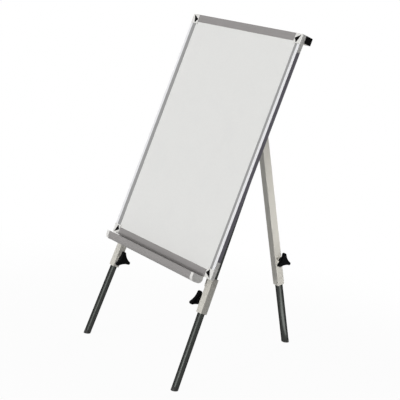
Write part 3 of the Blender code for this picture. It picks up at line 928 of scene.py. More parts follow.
def dress_solid(node: str, finish: Finish) -> Piece:
    """Dress a solid that keeps its own shape.

    Args:
        node: Its name.
        finish: Its finish.

    Returns:
        The solid's object.
    """
    solid = frame["nodes"][node]
    solid.data.materials.clear()
    solid.data.materials.append(finish.material())
    return solid


@dataclass(frozen=True)
class Stance:
    """How the board and the legs stand on the floor."""

    lean: float = LEAN
    lift: float = 0.4466
    set_back: float = -0.348605
    leg_x: float = 0.3158
    leg_depth: float = 0.0462
    splay: float = radians(2.13)
    hinge_depth: float = 0.0645
    hinge_rise: float = 0.9461
    rear_lean: float = radians(18.629)

    def board(self) -> Matrix:
        """The board's frame: its origin is the middle of its lower front edge, and Y is its depth."""
        return Matrix.Translation((0, self.set_back, self.lift)) @ Matrix.Rotation(-self.lean, 4, "X")

    def leg(self, side: Side) -> Matrix:
        """A front leg's frame, with Z up along the leg."""
        foot = Matrix.Translation((side.value * self.leg_x, self.leg_depth, 0))
        return self.board() @ foot @ Matrix.Rotation(-side.value * self.splay, 4, "Y")

    def rear(self) -> Matrix:
        """The rear leg's frame: its origin is on the hinge bolt, and Z points up along the leg."""
        hinge = self.board() @ Vector((0, self.hinge_depth, self.hinge_rise))
        return Matrix.Translation(hinge) @ Matrix.Rotation(self.rear_lean, 4, "X")


@dataclass
class Screw:
    """A pan-head screw with a cross recess, modelled once along Z."""

    radius: float = 0.002
    length: float = 0.0042
    head_radius: float = 0.004
    head_height: float = 0.0025
    recess_long: float = 0.0044
    recess_wide: float = 0.0009
    recess_deep: float = 0.0012
    pattern: Piece | None = field(default=None, repr=False)

    def model(self) -> Piece:
        """Model the screw with its head's underside at the origin.

        Returns:
            The screw, before it is copied.
        """
        top = self.head_height
        profile = [
            (self.radius, -self.length),
            (self.radius, 0),
            (self.head_radius, 0),
            (self.head_radius, top * 0.35),
            (self.head_radius * 0.93, top * 0.65),
            (self.head_radius * 0.75, top * 0.87),
            (self.head_radius * 0.45, top),
        ]
        blank = Blank.turned("screw_pattern", profile, SMALL_ROUND)
        long, wide = self.recess_long, self.recess_wide
        for x, y in ((long, wide), (wide, long)):
            low, high = (-x / 2, -y / 2, top - self.recess_deep), (x / 2, y / 2, 2 * top)
            blank.combine(Boolean.DIFFERENCE, Blank.block("recess", low, high))
        return blank.done(Matrix.Identity(4))

    def set(self, node: str, place: Matrix, seat: Point, towards: Point) -> Piece:
        """Set a copy of the screw in its hole.

        Args:
            node: The solid that it stands for.
            place: The frame that the hole is given in.
            seat: Where the head's underside sits.
            towards: The way that the head faces.

        Returns:
            The screw, on the board.
        """
        if self.pattern is None:
            self.pattern = self.model()
        turn = Vector(towards).to_track_quat("Z", "Y").to_matrix().to_4x4()
        twin = copied(self.pattern, f"{node}_pan_head", place @ Matrix.Translation(seat) @ turn)
        return fit(twin, ZINC, Body.BOARD, node)

    def put_away(self) -> None:
        """Remove the pattern that the copies were made from."""
        if self.pattern is not None:
            bpy.data.objects.remove(self.pattern)
            self.pattern = None


@dataclass
class Panel:
    """The writing panel: plain sheets that keep their solids."""

    def build(self) -> Iterator[Piece]:
        """Dress the three layers.

        Yields:
            Each layer.
        """
        yield dress_solid("writing_surface", ENAMEL)
        yield dress_solid("panel_core", FIBREBOARD)
        yield dress_solid("panel_back_sheet", MILL_SHEET)


@dataclass
class BoardFrame:
    """Channel rails round the panel, with plastic corners and black inserts."""

    stance: Stance
    width: float = 0.710
    height: float = 1.000
    face: float = 0.031
    flat: float = 0.0145
    depth: float = 0.0176
    wall: float = 0.0016
    lip_drop: float = 0.0024
    back: float = 0.022
    edge_radius: float = 0.0015
    corner_along: float = 0.042
    corner_up: float = 0.0395
    corner_proud: float = 0.0004
    corner_radius: float = 0.005
    corner_wall: float = 0.002
    corner_edge: float = 0.0007
    skirt_out: float = 0.0008
    skirt_up: float = 0.0335
    pocket_front: float = 0.004
    pocket_back: float = 0.016
    insert: tuple[Flat, Flat, Flat] = ((0.0095, 0.0045), (0.0405, 0.020), (0.0245, 0.0375))
    insert_sink: float = 0.0006
    insert_proud: float = 0.0010
    insert_round: float = 0.0010
    insert_edge: float = 0.0004

    def rail(self, name: str, length: float) -> Blank:
        """Model a rail along X, with its outer edge at z = 0 and its front at y = 0.

        Args:
            name: Name of the piece.
            length: How long it is.

        Returns:
            The finished blank.
        """
        mid = self.wall / 2
        centre = (self.edge_radius, self.edge_radius)
        corner = arc(centre, self.edge_radius - mid, pi, 1.5 * pi, steps=6)
        path = [
            (self.lip_drop + mid, self.face),
            (mid, self.flat),
            *corner,
            (self.depth - mid, mid),
            (self.depth - mid, self.back),
        ]
        blank = Blank.strip(name, path, -length / 2, length / 2)
        blank.thicken(self.wall, Growth.BOTH_SIDES)
        deep, inner = self.lip_drop + mid, self.face - mid
        blank.pick(Pick.EDGE, lambda at, way: abs(way.x) > ALONG and at.z > inner and at.y < deep)
        tip_round = self.wall * 0.8
        blank.bevel(tip_round, steps=4)
        blank.soften(BURR)
        return blank

    def corner(self) -> tuple[Piece, Piece]:
        """Model the lower left corner, with a thin skirt that laps the side rail, and its insert.

        Returns:
            The corner and the insert.
        """
        edge = Matrix.Translation((-self.width / 2, 0, 0)) @ Matrix.Rotation(pi / 2, 4, "X")
        place = self.stance.board() @ edge
        high = (self.corner_along, self.corner_up, self.corner_proud)
        block = Blank.block("corner_bottom_left_moulding", (-self.skirt_out, 0, -self.depth), high)
        block.pick(Pick.EDGE, lambda mid, way: abs(way.z) > ALONG and mid.x + mid.y < NEAR)
        block.bevel(self.corner_radius, steps=8)
        block.soften(self.corner_edge, steps=3)
        low = (self.corner_wall, self.corner_wall, -self.pocket_back)
        high = (2 * self.corner_along, 2 * self.corner_up, -self.pocket_front)
        pocket = Blank.block("pocket", low, high)
        recess = self.wedge("recess", FIT)
        block.combine(Boolean.DIFFERENCE, pocket, recess)
        low = (SLIVER - self.skirt_out, self.corner_up / 2, FIT - self.depth)
        high = (-FIT, self.corner_up + self.skirt_up, -self.edge_radius)
        block.combine(Boolean.UNION, Blank.block("skirt", low, high))
        insert = self.wedge("corner_insert_bottom_left_wedge", 0)
        insert.soften(self.insert_edge)
        return block.done(place), insert.done(place)

    def wedge(self, name: str, clearance: float) -> Blank:
        """Model the insert's triangle, or the recess that it sits in.

        Args:
            name: Name of the piece.
            clearance: How much wider it is on every side.

        Returns:
            The blank, in the corner's own frame.
        """
        centre = Vector((0, 0))
        for corner in self.insert:
            centre += Vector(corner) / 3
        outline = []
        for corner in self.insert:
            # In a triangle, a corner moves about twice as far as the sides that meet there
            out = (Vector(corner) - centre).normalized() * 2 * clearance
            outline.append(tuple(Vector(corner) + out))
        top = self.insert_proud if clearance == 0 else 2 * self.insert_proud
        blank = Blank.prism(name, outline, -self.insert_sink - clearance + FIT, top)
        blank.pick(Pick.EDGE, lambda mid, way: abs(way.z) > ALONG)
        blank.bevel(self.insert_round, steps=4)
        return blank

    def build(self) -> Iterator[Piece]:
        """Build the rails, corners and inserts.

        Yields:
            Each finished piece.
        """
        board = self.stance.board()
        across = self.width - 2 * (self.corner_along + FIT)
        upright = self.height - 2 * (self.corner_up + FIT)
        bottom = self.rail("bottom_rail_channel", across).done(board)
        turn_over = board @ Matrix.Translation((0, 0, self.height)) @ Matrix.Rotation(pi, 4, "Y")
        top = copied(bottom, "top_rail_channel", turn_over @ board.inverted())
        yield fit(bottom, ACROSS_RAIL, Body.BOARD, "bottom_rail")
        yield fit(top, ACROSS_RAIL, Body.BOARD, "top_rail")
        halfway = Matrix.Translation((-self.width / 2, 0, self.height / 2))
        edge = halfway @ Matrix.Rotation(pi / 2, 4, "Y")
        left = self.rail("left_rail_channel", upright).done(board @ edge)
        right = copied(left, "right_rail_channel", MIRROR_X)
        yield fit(left, UPRIGHT_RAIL, Body.BOARD, "left_rail")
        yield fit(right, UPRIGHT_RAIL, Body.BOARD, "right_rail")
        flip = Matrix.Translation((0, 0, self.height)) @ Matrix.Diagonal((1, 1, -1, 1))
        flip = board @ flip @ board.inverted()
        spots = (
            ("bottom_right", MIRROR_X),
            ("top_left", flip),
            ("top_right", flip @ MIRROR_X),
        )
        corner, insert = self.corner()
        corners = [("bottom_left", corner, insert)]
        for spot, move in spots:
            twin = copied(corner, f"corner_{spot}_moulding", move)
            corners.append((spot, twin, copied(insert, f"corner_insert_{spot}_wedge", move)))
        for spot, moulding, wedge in corners:
            yield fit(moulding, PALE_ABS, Body.BOARD, f"corner_{spot}")
            yield fit(wedge, BLACK_ABS, Body.BOARD, f"corner_insert_{spot}")


@dataclass
class PenTray:
    """The extruded tray under the board, with a moulded cap on each end."""

    stance: Stance
    screw: Screw
    reach: float = 0.0554
    back_gap: float = 0.002
    drop: float = 0.029
    front_top: float = 0.0044
    wall: float = 0.002
    front_radius: float = 0.017
    back_radius: float = 0.015
    flange: float = 0.015
    edge: float = 0.0005
    half_length: float = 0.3138
    cap_length: float = 0.016
    cap_wall: float = 0.003
    cap_proud: float = 0.0008
    cap_edge: float = 0.0008
    screw_x: float = 0.200

    def path(self, outset: float) -> list[Flat]:
        """The tray's section from its front lip to the top of its back wall.

        Args:
            outset: How far outside the tray's own mid-wall line it runs.

        Returns:
            Points of (depth, height).
        """
        mid = self.wall / 2
        front_middle = (mid + self.front_radius - self.reach, mid + self.front_radius - self.drop)
        back_middle = (-self.back_gap - mid - self.back_radius, mid + self.back_radius - self.drop)
        return [
            (mid - self.reach - outset, self.front_top),
            *arc(front_middle, self.front_radius + outset, pi, 1.5 * pi),
            *arc(back_middle, self.back_radius + outset, 1.5 * pi, 2 * pi),
            (-self.back_gap - mid + outset, -FIT - mid),
        ]

    def tray(self) -> Piece:
        """Model the tray, with a flange at the back that goes under the rail.

        Returns:
            The finished tray.
        """
        half = self.half_length - self.cap_length - FIT
        path = [*self.path(0), (self.flange, -FIT - self.wall / 2)]
        blank = Blank.strip("pen_tray_extrusion", path, -half, half)
        blank.thicken(self.wall, Growth.BOTH_SIDES)
        blank.soften(self.edge, steps=3)
        return blank.done(self.stance.board())

    def cap(self) -> Piece:
        """Model the left end cap: a bent strip whose outer end is filled before it gets its wall.

        Returns:
            The finished cap.
        """
        outset = self.wall / 2 + self.cap_proud - self.cap_wall / 2
        outer = self.cap_wall / 2 - self.half_length
        inner = self.cap_length - self.half_length
        blank = Blank.strip("tray_cap_left_moulding", self.path(outset), outer, inner)
        blank.pick(Pick.VERT, lambda mid, _: mid.x < outer + NEAR)
        bpy.ops.mesh.edge_face_add()
        blank.face_outwards()
        blank.thicken(self.cap_wall, Growth.BOTH_SIDES)
        blank.soften(self.cap_edge, steps=3)
        return blank.done(self.stance.board())

    def build(self) -> Iterator[Piece]:
        """Build the tray, its caps and its screws.

        Yields:
            Each finished piece.
        """
        yield fit(self.tray(), ACROSS_RAIL, Body.BOARD, "pen_tray")
        left = self.cap()
        right = copied(left, "tray_cap_right_moulding", MIRROR_X)
        yield fit(left, PALE_ABS, Body.BOARD, "tray_cap_left")
        yield fit(right, PALE_ABS, Body.BOARD, "tray_cap_right")
        for side in Side:
            seat = (side.value * self.screw_x, self.flange / 2, -self.wall - 2 * FIT)
            yield self.screw.set(f"tray_screw_{side.word}", self.stance.board(), seat, (0, 0, -1))


def square_tube(name: str, low: Point, high: Point, wall: float, radius: float) -> Blank:
    """Model a square tube with round edges along its longest side.

    Args:
        name: Name of the piece.
        low: Lowest corner of its outside.
        high: Highest corner of its outside.
        wall: Wall thickness.
        radius: Radius of its long edges.

    Returns:
        The finished blank.
    """
    sides = [b - a for a, b in zip(low, high)]
    axis = sides.index(max(sides))
    blank = Blank.block(name, low, high)
    blank.pick(Pick.FACE, lambda _, normal: abs(normal[axis]) > ALONG)
    blank.delete_faces()
    blank.pick(Pick.EDGE, lambda _, way: abs(way[axis]) > ALONG)
    blank.bevel(radius, steps=6)
    blank.thicken(wall, Growth.INWARDS)
    blank.soften(BURR, angle=CORNER_ANGLE)
    return blank


def round_tube(name: str, radius: float, wall: float, low: float, high: float) -> Blank:
    """Model a round tube along Z.

    Args:
        name: Name of the piece.
        radius: Outside radius.
        wall: Wall thickness.
        low: Its lower end.
        high: Its upper end.

    Returns:
        The finished blank.
    """
    blank = Blank(
        name,
        Primitive.CYLINDER,
        location=(0, 0, (low + high) / 2),
        vertices=ROUND,
        radius=radius,
        depth=high - low,
        end_fill_type="NOTHING",
    )
    blank.thicken(wall, Growth.INWARDS)
    blank.soften(BURR, angle=CORNER_ANGLE)
    return blank


@dataclass
class Crossbar:
    """The capped tube across the back of the top rail."""

    stance: Stance
    screw: Screw
    half_width: float = 0.355
    front: float = 0.0179
    depth: float = 0.036
    top: float = 0.9995
    height: float = 0.030
    wall: float = 0.0015
    radius: float = 0.002
    cap: float = 0.004
    cap_edge: float = 0.0008
    plug_depth: float = 0.018
    screw_x: float = 0.220

    def build(self) -> Iterator[Piece]:
        """Build the tube, its caps and its screws.

        Yields:
            Each finished piece.
        """
        board = self.stance.board()
        end = self.half_width - self.cap - FIT
        back = self.front + self.depth
        bottom = self.top - self.height
        low, high = (-end, self.front, bottom), (end, back, self.top)
        bar = square_tube("top_crossbar_tube", low, high, self.wall, self.radius)
        yield fit(bar.done(board), POWDER_COAT, Body.BOARD, "top_crossbar")
        low = (-self.half_width, self.front, bottom)
        blank = Blank.block("crossbar_cap_left_plug", low, (-end - FIT, back, self.top))
        blank.pick(Pick.EDGE, lambda _, way: abs(way.x) > ALONG)
        blank.bevel(self.radius, steps=6)
        blank.pick(Pick.FACE, lambda _, normal: normal.x > ALONG)
        blank.inset(self.wall + FIT)
        blank.extrude((self.plug_depth, 0, 0))
        blank.soften(self.cap_edge, steps=3, angle=CORNER_ANGLE)
        left = blank.done(board)
        right = copied(left, "crossbar_cap_right_plug", MIRROR_X)
        yield fit(left, BLACK_ABS, Body.BOARD, "crossbar_cap_left")
        yield fit(right, BLACK_ABS, Body.BOARD, "crossbar_cap_right")
        for side in Side:
            seat = (side.value * self.screw_x, back + FIT, bottom + self.height / 2)
            yield self.screw.set(f"crossbar_screw_{side.word}", board, seat, (0, 1, 0))


@dataclass
class Hinge:
    """The bracket under the crossbar and the bolt that the rear leg swings on."""

    stance: Stance
    screw: Screw
    web_bottom: float = 0.9662
    web_thickness: float = 0.003
    web_half: float = 0.040
    web_front: float = 0.0179
    web_corner: float = 0.004
    edge: float = 0.0004
    screw_x: float = 0.031
    screw_depth: float = 0.0359
    ear_inner: float = 0.0185
    ear_thickness: float = 0.003
    ear_radius: float = 0.012
    bolt_radius: float = 0.004
    bolt_tail: float = 0.003
    hex_radius: float = 0.0075
    hex_height: float = 0.0055
    hex_edge: float = 0.0006

    def across(self) -> Matrix:
        """From a frame whose X is depth, Y is height and Z is the board's X, to the world."""
        return self.stance.board() @ ON_EDGE

    def pin(self) -> Flat:
        """The bolt's depth and height in the board's frame."""
        return self.stance.hinge_depth, self.stance.hinge_rise

    def bracket(self) -> Piece:
        """Model the bracket: a web with two round-ended ears.

        Returns:
            The finished bracket.
        """
        pin = self.pin()
        top = self.web_bottom + self.web_thickness
        back = pin[0] + self.ear_radius
        low = (self.web_front, self.web_bottom, -self.web_half)
        blank = Blank.block("hinge_bracket_pressing", low, (back, top, self.web_half))
        blank.pick(Pick.EDGE, lambda _, way: abs(way.y) > ALONG)
        blank.bevel(self.web_corner, steps=5)
        outline = [
            (self.web_front, self.web_bottom - self.ear_radius / 2),
            *arc(pin, self.ear_radius, pi, 2 * pi, steps=16),
            (back, top - FIT),
            (self.web_front, top - FIT),
        ]
        faces = (self.ear_inner, self.ear_inner + self.ear_thickness)
        for side in Side:
            ends = sorted(side.value * x for x in faces)
            blank.combine(Boolean.UNION, Blank.prism("ear", outline, *ends))
        blank.soften(self.edge)
        return blank.done(self.across())

    def hexagon(self, name: str, low: float, high: float) -> Blank:
        """Model a chamfered hexagon on the bolt's axis.

        Args:
            name: Name of the piece.
            low: Its lowest X.
            high: Its highest X.

        Returns:
            The finished blank.
        """
        blank = Blank(
            name,
            Primitive.CYLINDER,
            location=(*self.pin(), (low + high) / 2),
            vertices=6,
            radius=self.hex_radius,
            depth=high - low,
        )
        blank.soften(self.hex_edge)
        return blank

    def shank(self, name: str, radius: float, low: float, high: float) -> Blank:
        """Model the bolt's shank, or the hole that it goes through.

        Args:
            name: Name of the piece.
            radius: Its radius.
            low: Its lowest X.
            high: Its highest X.

        Returns:
            The blank.
        """
        return Blank(
            name,
            Primitive.CYLINDER,
            location=(*self.pin(), (low + high) / 2),
            vertices=SMALL_ROUND,
            radius=radius,
            depth=high - low,
        )

    def build(self) -> Iterator[Piece]:
        """Build the bracket, its screws, the bolt and the nut.

        Yields:
            Each finished piece.
        """
        yield fit(self.bracket(), ZINC, Body.BOARD, "hinge_bracket")
        for side in Side:
            seat = (side.value * self.screw_x, self.screw_depth, self.web_bottom - FIT)
            yield self.screw.set(f"hinge_screw_{side.word}", self.stance.board(), seat, (0, 0, -1))
        start = self.ear_inner + self.ear_thickness + FIT
        end = start + self.hex_height
        bolt = self.hexagon("hinge_bolt_hex_head", -end, -start)
        shank = self.shank("shank", self.bolt_radius, FIT - end, end + self.bolt_tail)
        bolt.combine(Boolean.UNION, shank)
        yield fit(bolt.done(self.across()), ZINC, Body.BOARD, "hinge_bolt")
        nut = self.hexagon("hinge_nut_hex", start, end)
        nut.combine(Boolean.DIFFERENCE, self.shank("thread", self.bolt_radius + FIT, 0, 2 * end))
        yield fit(nut.done(self.across()), ZINC, Body.BOARD, "hinge_nut")


def rubber_foot(name: str, radius: float, height: float, frame_of_leg: Matrix, reach: float) -> Piece:
    """Model a ribbed rubber foot on the end of a leg, cut level with the floor.

    Args:
        name: Name of the piece.
        radius: Its outside radius.
        height: How far it stands above the floor along the leg.
        frame_of_leg: The leg's frame, with Z up along the leg.
        reach: How far down the leg the floor is.

    Returns:
        The finished foot.
    """
    groove_deep, rim_chamfer, edge = 0.0007, 0.0010, 0.0004
    groove = radius - groove_deep
    profile = [
        (radius, -radius),
        (radius, height * 0.34),
        (groove, height * 0.40),
        (groove, height * 0.44),
        (radius, height * 0.50),
        (radius, height * 0.62),
        (groove, height * 0.68),
        (groove, height * 0.72),
        (radius, height * 0.78),
        (radius, height * 0.92),
        (radius - rim_chamfer, height),
    ]
    blank = Blank.turned(name, profile)
    down = frame_of_leg.to_3x3().inverted() @ Vector((0, 0, -1))
    bpy.ops.mesh.select_all(action="SELECT")
    bpy.ops.mesh.bisect(plane_co=ORIGIN, plane_no=down, use_fill=True, clear_outer=True)
    blank.soften(edge)
    return blank.done(frame_of_leg @ Matrix.Translation((0, 0, -reach)))


def plug(name: str, radius: float, bore: float, place: Matrix) -> Piece:
    """Model a domed plug in the top of a tube.

    Args:
        name: Name of the piece.
        radius: Radius of its flange.
        bore: Inside radius of the tube.
        place: Frame whose origin is the middle of the tube's top.

    Returns:
        The finished plug.
    """
    depth, dome = 0.015, 0.0040
    profile = [
        (bore - FIT, -depth),
        (bore - FIT, FIT),
        (radius, FIT),
        (radius, dome * 0.55),
        (radius * 0.93, dome * 0.80),
        (radius * 0.75, dome * 0.925),
        (radius * 0.45, dome),
    ]
    return Blank.turned(name, profile).done(place)


def clamp_boss(name: str, radius: float, low: float, high: float) -> Blank:
    """Model a clamp's boss along Z: a turned collar with chamfered rims.

    Args:
        name: Name of the piece.
        radius: Its radius.
        low: Where it starts on the tube's face.
        high: Where it ends under the knob.

    Returns:
        The finished blank.
    """
    chamfer = 0.0008
    profile = [
        (radius - chamfer, low),
        (radius, low + chamfer),
        (radius, high - chamfer),
        (radius - chamfer, high),
    ]
    return Blank.turned(name, profile)


@dataclass
class FrontLegs:
    """The sockets under the board's corners, and the tubes that slide in them."""

    stance: Stance
    screw: Screw
    socket_side: float = 0.032
    socket_wall: float = 0.0014
    socket_radius: float = 0.003
    socket_low: float = -0.1375
    socket_high: float = 0.005
    bracket_thickness: float = 0.003
    bracket_front: float = -0.0283
    bracket_low: float = -0.036
    bracket_high: float = 0.028
    bracket_corner: float = 0.005
    bracket_edge: float = 0.0004
    arm_low: float = 0.003
    arm_length: float = 0.045
    screw_rise: float = 0.014
    screw_insets: Flat = (0.012, 0.034)
    tube_radius: float = 0.0143
    tube_wall: float = 0.0015
    tube_top: float = 0.640
    reach: float = 0.45181
    foot_height: float = 0.013
    foot_proud: float = 0.0005
    plug_lip: float = 0.0012
    boss_radius: float = 0.009
    boss_height: float = 0.008
    clamp_z: float = -0.095

    def socket(self) -> Piece:
        """Model the left socket.

        Returns:
            The finished socket.
        """
        half = self.socket_side / 2
        low = (-half, -half, self.socket_low)
        high = (half, half, self.socket_high)
        blank = square_tube("leg_socket_left_tube", low, high, self.socket_wall, self.socket_radius)
        return blank.done(self.stance.leg(Side.LEFT))

    def bracket(self) -> Piece:
        """Model the left socket's bracket: a cheek along the socket and an arm behind the rail.

        Returns:
            The finished bracket.
        """
        half = self.socket_side / 2
        near = half + FIT
        far = near + self.bracket_thickness
        cheek = [
            (-half, self.bracket_low),
            (half, self.bracket_low),
            (half, self.bracket_high),
            (self.bracket_front, self.bracket_high),
            (self.bracket_front, self.arm_low),
            (-half, self.arm_low),
        ]
        blank = Blank.prism("socket_bracket_left_pressing", cheek, near, far)
        blank.pick(Pick.EDGE, lambda mid, way: abs(way.z) > ALONG and mid.y < 0)
        blank.bevel(self.bracket_corner, steps=5)
        arm_back = self.bracket_front + self.bracket_thickness
        low = (self.bracket_front, self.arm_low, near + FIT)
        high = (arm_back, self.bracket_high, near + self.arm_length)
        arm = Blank.block("arm", low, high)
        arm.pick(Pick.EDGE, lambda mid, way: abs(way.x) > ALONG and mid.z > far)
        arm.bevel(self.bracket_corner, steps=5)
        blank.combine(Boolean.UNION, arm)
        blank.soften(self.bracket_edge)
        return blank.done(self.stance.leg(Side.LEFT) @ ON_EDGE)

    def boss(self) -> Piece:
        """Model the left clamp's boss on the socket's inner face.

        Returns:
            The finished boss.
        """
        face = self.socket_side / 2
        rim = face + self.boss_height
        blank = clamp_boss("clamp_boss_left_collar", self.boss_radius, face + FIT, rim)
        inwards = Matrix.Translation((0, 0, self.clamp_z)) @ Matrix.Rotation(pi / 2, 4, "Y")
        return blank.done(self.stance.leg(Side.LEFT) @ inwards)

    def tube(self) -> Piece:
        """Model the left leg's tube.

        Returns:
            The finished tube.
        """
        low, high = self.foot_height + FIT - self.reach, self.tube_top
        blank = round_tube("front_tube_left_drawn", self.tube_radius, self.tube_wall, low, high)
        return blank.done(self.stance.leg(Side.LEFT))

    def build(self) -> Iterator[Piece]:
        """Model the left leg, mirror it to the right and set the screws.

        Yields:
            Each finished piece.
        """
        left = self.stance.leg(Side.LEFT)
        top = left @ Matrix.Translation((0, 0, self.tube_top))
        bore = self.tube_radius - self.tube_wall
        radius = self.tube_radius + self.foot_proud
        foot = rubber_foot("foot_left_ferrule", radius, self.foot_height, left, self.reach)
        cap = plug("front_tube_plug_left_dome", self.tube_radius + self.plug_lip, bore, top)
        pieces = (
            (self.socket(), POWDER_COAT, "leg_socket_left", None),
            (self.bracket(), POWDER_COAT, "socket_bracket_left", None),
            (self.boss(), POWDER_COAT, "clamp_boss_left", None),
            (self.tube(), DARK_LACQUER, "front_tube_left", (Body.LEFT_LEG, Body.RIGHT_LEG)),
            (cap, BLACK_ABS, "front_tube_plug_left", (Body.LEFT_LEG, Body.RIGHT_LEG)),
            (foot, RUBBER, "foot_left", (Body.LEFT_LEG, Body.RIGHT_LEG)),
        )
        for piece, finish, node, bodies in pieces:
            left_body, right_body = bodies or (Body.BOARD, Body.BOARD)
            twin = copied(piece, piece.name.replace("left", "right"), MIRROR_X)
            yield fit(piece, finish, left_body, node)
            yield fit(twin, finish, right_body, node.replace("left", "right"))
        start = self.socket_side / 2 + FIT + self.bracket_thickness
        depth = self.bracket_front + self.bracket_thickness + FIT
        for side in Side:
            for number, inset in enumerate(self.screw_insets, start=1):
                seat = (-side.value * (start + inset), depth, self.screw_rise)
                node = f"bracket_screw_{side.word}_{number}"
                yield self.screw.set(node, self.stance.leg(side), seat, (0, 1, 0))


@dataclass
class RearLeg:
    """The square tube on the hinge bolt and the round tube that slides in it."""

    stance: Stance
    side: float = 0.036
    wall: float = 0.001
    edge_radius: float = 0.003
    low: float = -1.11467
    high: float = 0.011615
    tube_radius: float = 0.0167
    tube_wall: float = 0.0015
    tube_top: float = -0.40867
    reach: float = 1.41167
    foot_height: float = 0.013
    foot_proud: float = 0.0005
    boss_radius: float = 0.009
    boss_height: float = 0.015
    clamp_z: float = -0.98467

    def build(self) -> Iterator[Piece]:
        """Build both tubes with their fittings, and dress the block inside the top.

        Yields:
            Each finished piece.
        """
        rear = self.stance.rear()
        half = self.side / 2
        low, high = (-half, -half, self.low), (half, half, self.high)
        upper = square_tube("rear_upper_tube_square", low, high, self.wall, self.edge_radius)
        yield fit(upper.done(rear), POWDER_COAT, Body.REAR_LEG, "rear_upper_tube")
        yield dress_solid("hinge_block", BLACK_ABS)
        rim = half + self.boss_height
        boss = clamp_boss("clamp_boss_rear_collar", self.boss_radius, half + FIT, rim)
        outwards = Matrix.Translation((0, 0, self.clamp_z)) @ Matrix.Rotation(pi / 2, 4, "Y")
        yield fit(boss.done(rear @ outwards), POWDER_COAT, Body.REAR_LEG, "clamp_boss_rear")
        ends = (self.foot_height + FIT - self.reach, self.tube_top)
        lower = round_tube("rear_lower_tube_drawn", self.tube_radius, self.tube_wall, *ends)
        yield fit(lower.done(rear), DARK_LACQUER, Body.REAR_EXTENSION, "rear_lower_tube")
        top = rear @ Matrix.Translation((0, 0, self.tube_top))
        cap = plug("rear_tube_plug_dome", self.tube_radius, self.tube_radius - self.tube_wall, top)
        yield fit(cap, BLACK_ABS, Body.REAR_EXTENSION, "rear_tube_plug")
        radius = self.tube_radius + self.foot_proud
        foot = rubber_foot("foot_rear_ferrule", radius, self.foot_height, rear, self.reach)
        yield fit(foot, RUBBER, Body.REAR_EXTENSION, "foot_rear")


@dataclass
class Clamps:
    """Three-armed knobs on threaded studs, one for each sliding leg."""

    stance: Stance
    neck: float = 0.013
    neck_radius: float = 0.013
    thickness: float = 0.018
    reach: float = 0.037
    tip_radius: float = 0.0072
    waist: float = 0.0172
    edge: float = 0.003
    dish_border: float = 0.0012
    dish_deep: float = 0.0008
    smooth: float = radians(40)
    front_back: float = 0.0245
    front_z: float = -0.095
    rear_back: float = 0.0335
    rear_z: float = -0.98467
    left_turn: float = radians(-2)
    right_turn: float = radians(12)
    rear_turn: float = radians(-8)

    def outline(self) -> list[Flat]:
        """Draw three arms with round tips, the first along X, and a hollow arc between each two.

        Returns:
            The points, counter-clockwise.
        """
        tip = self.reach - self.tip_radius
        spread = self.waist - self.tip_radius
        middle = (tip**2 - spread**2) / (tip - 2 * spread)
        lean = atan2(middle * sin(pi / 3), middle * cos(pi / 3) - tip)
        swing = lean - pi / 3
        points: list[Flat] = []
        for arm in range(3):
            along = arm * 2 * pi / 3
            facing = along + pi / 3 + pi
            tip_centre = (tip * cos(along), tip * sin(along))
            points += arc(tip_centre, self.tip_radius, along - lean, along + lean)
            hollow_centre = (-middle * cos(facing), -middle * sin(facing))
            hollow = arc(hollow_centre, middle - self.waist, facing + swing, facing - swing)
            points += hollow[1:-1]
        return points

    def knob(self) -> Piece:
        """Model the knob with its back at the origin and one arm along X.

        Returns:
            The pattern for the three knobs.
        """
        blank = Blank.prism("knob_pattern", self.outline(), self.neck, self.neck + self.thickness)
        blank.pick(Pick.FACE, lambda _, normal: normal.z > ALONG)
        blank.inset(self.edge * 1.3)
        blank.inset(self.dish_border, -self.dish_deep)
        blank.soften(self.edge, steps=4, angle=CORNER_ANGLE)
        neck = [
            (self.neck_radius * 0.86, 0),
            (self.neck_radius * 0.86, self.neck * 0.35),
            (self.neck_radius, self.neck * 0.75),
            (self.neck_radius * 1.1, self.neck + self.edge),
        ]
        blank.combine(Boolean.UNION, Blank.turned("neck", neck))
        return blank.done(Matrix.Identity(4), self.smooth)

    def build(self) -> Iterator[Piece]:
        """Copy the knob to its three places and dress the studs.

        Yields:
            Each knob and each stud.
        """
        pattern = self.knob()
        stance = self.stance
        front_seat = (self.front_back, self.front_z)
        rear_seat = (self.rear_back, self.rear_z)
        left, right = (stance.leg(side) for side in Side)
        spots = (
            (Body.LEFT_KNOB, left, 1, front_seat, self.left_turn - stance.lean),
            (Body.RIGHT_KNOB, right, -1, front_seat, self.right_turn - stance.lean),
            (Body.REAR_KNOB, stance.rear(), 1, rear_seat, self.rear_turn + stance.rear_lean),
        )
        for body, leg, direction, (back, height), turn in spots:
            word = body.value.removesuffix("_knob")
            seat = Matrix.Translation((direction * back, 0, height))
            outwards = Matrix.Rotation(direction * pi / 2, 4, "Y")
            top_arm = Matrix.Rotation(atan2(sin(turn), -direction * cos(turn)), 4, "Z")
            knob = copied(pattern, f"clamp_knob_{word}_moulding", leg @ seat @ outwards @ top_arm)
            yield fit(knob, BLACK_ABS, body, f"clamp_knob_{word}")
            yield dress_solid(f"clamp_stud_{word}", ZINC)
        bpy.data.objects.remove(pattern)


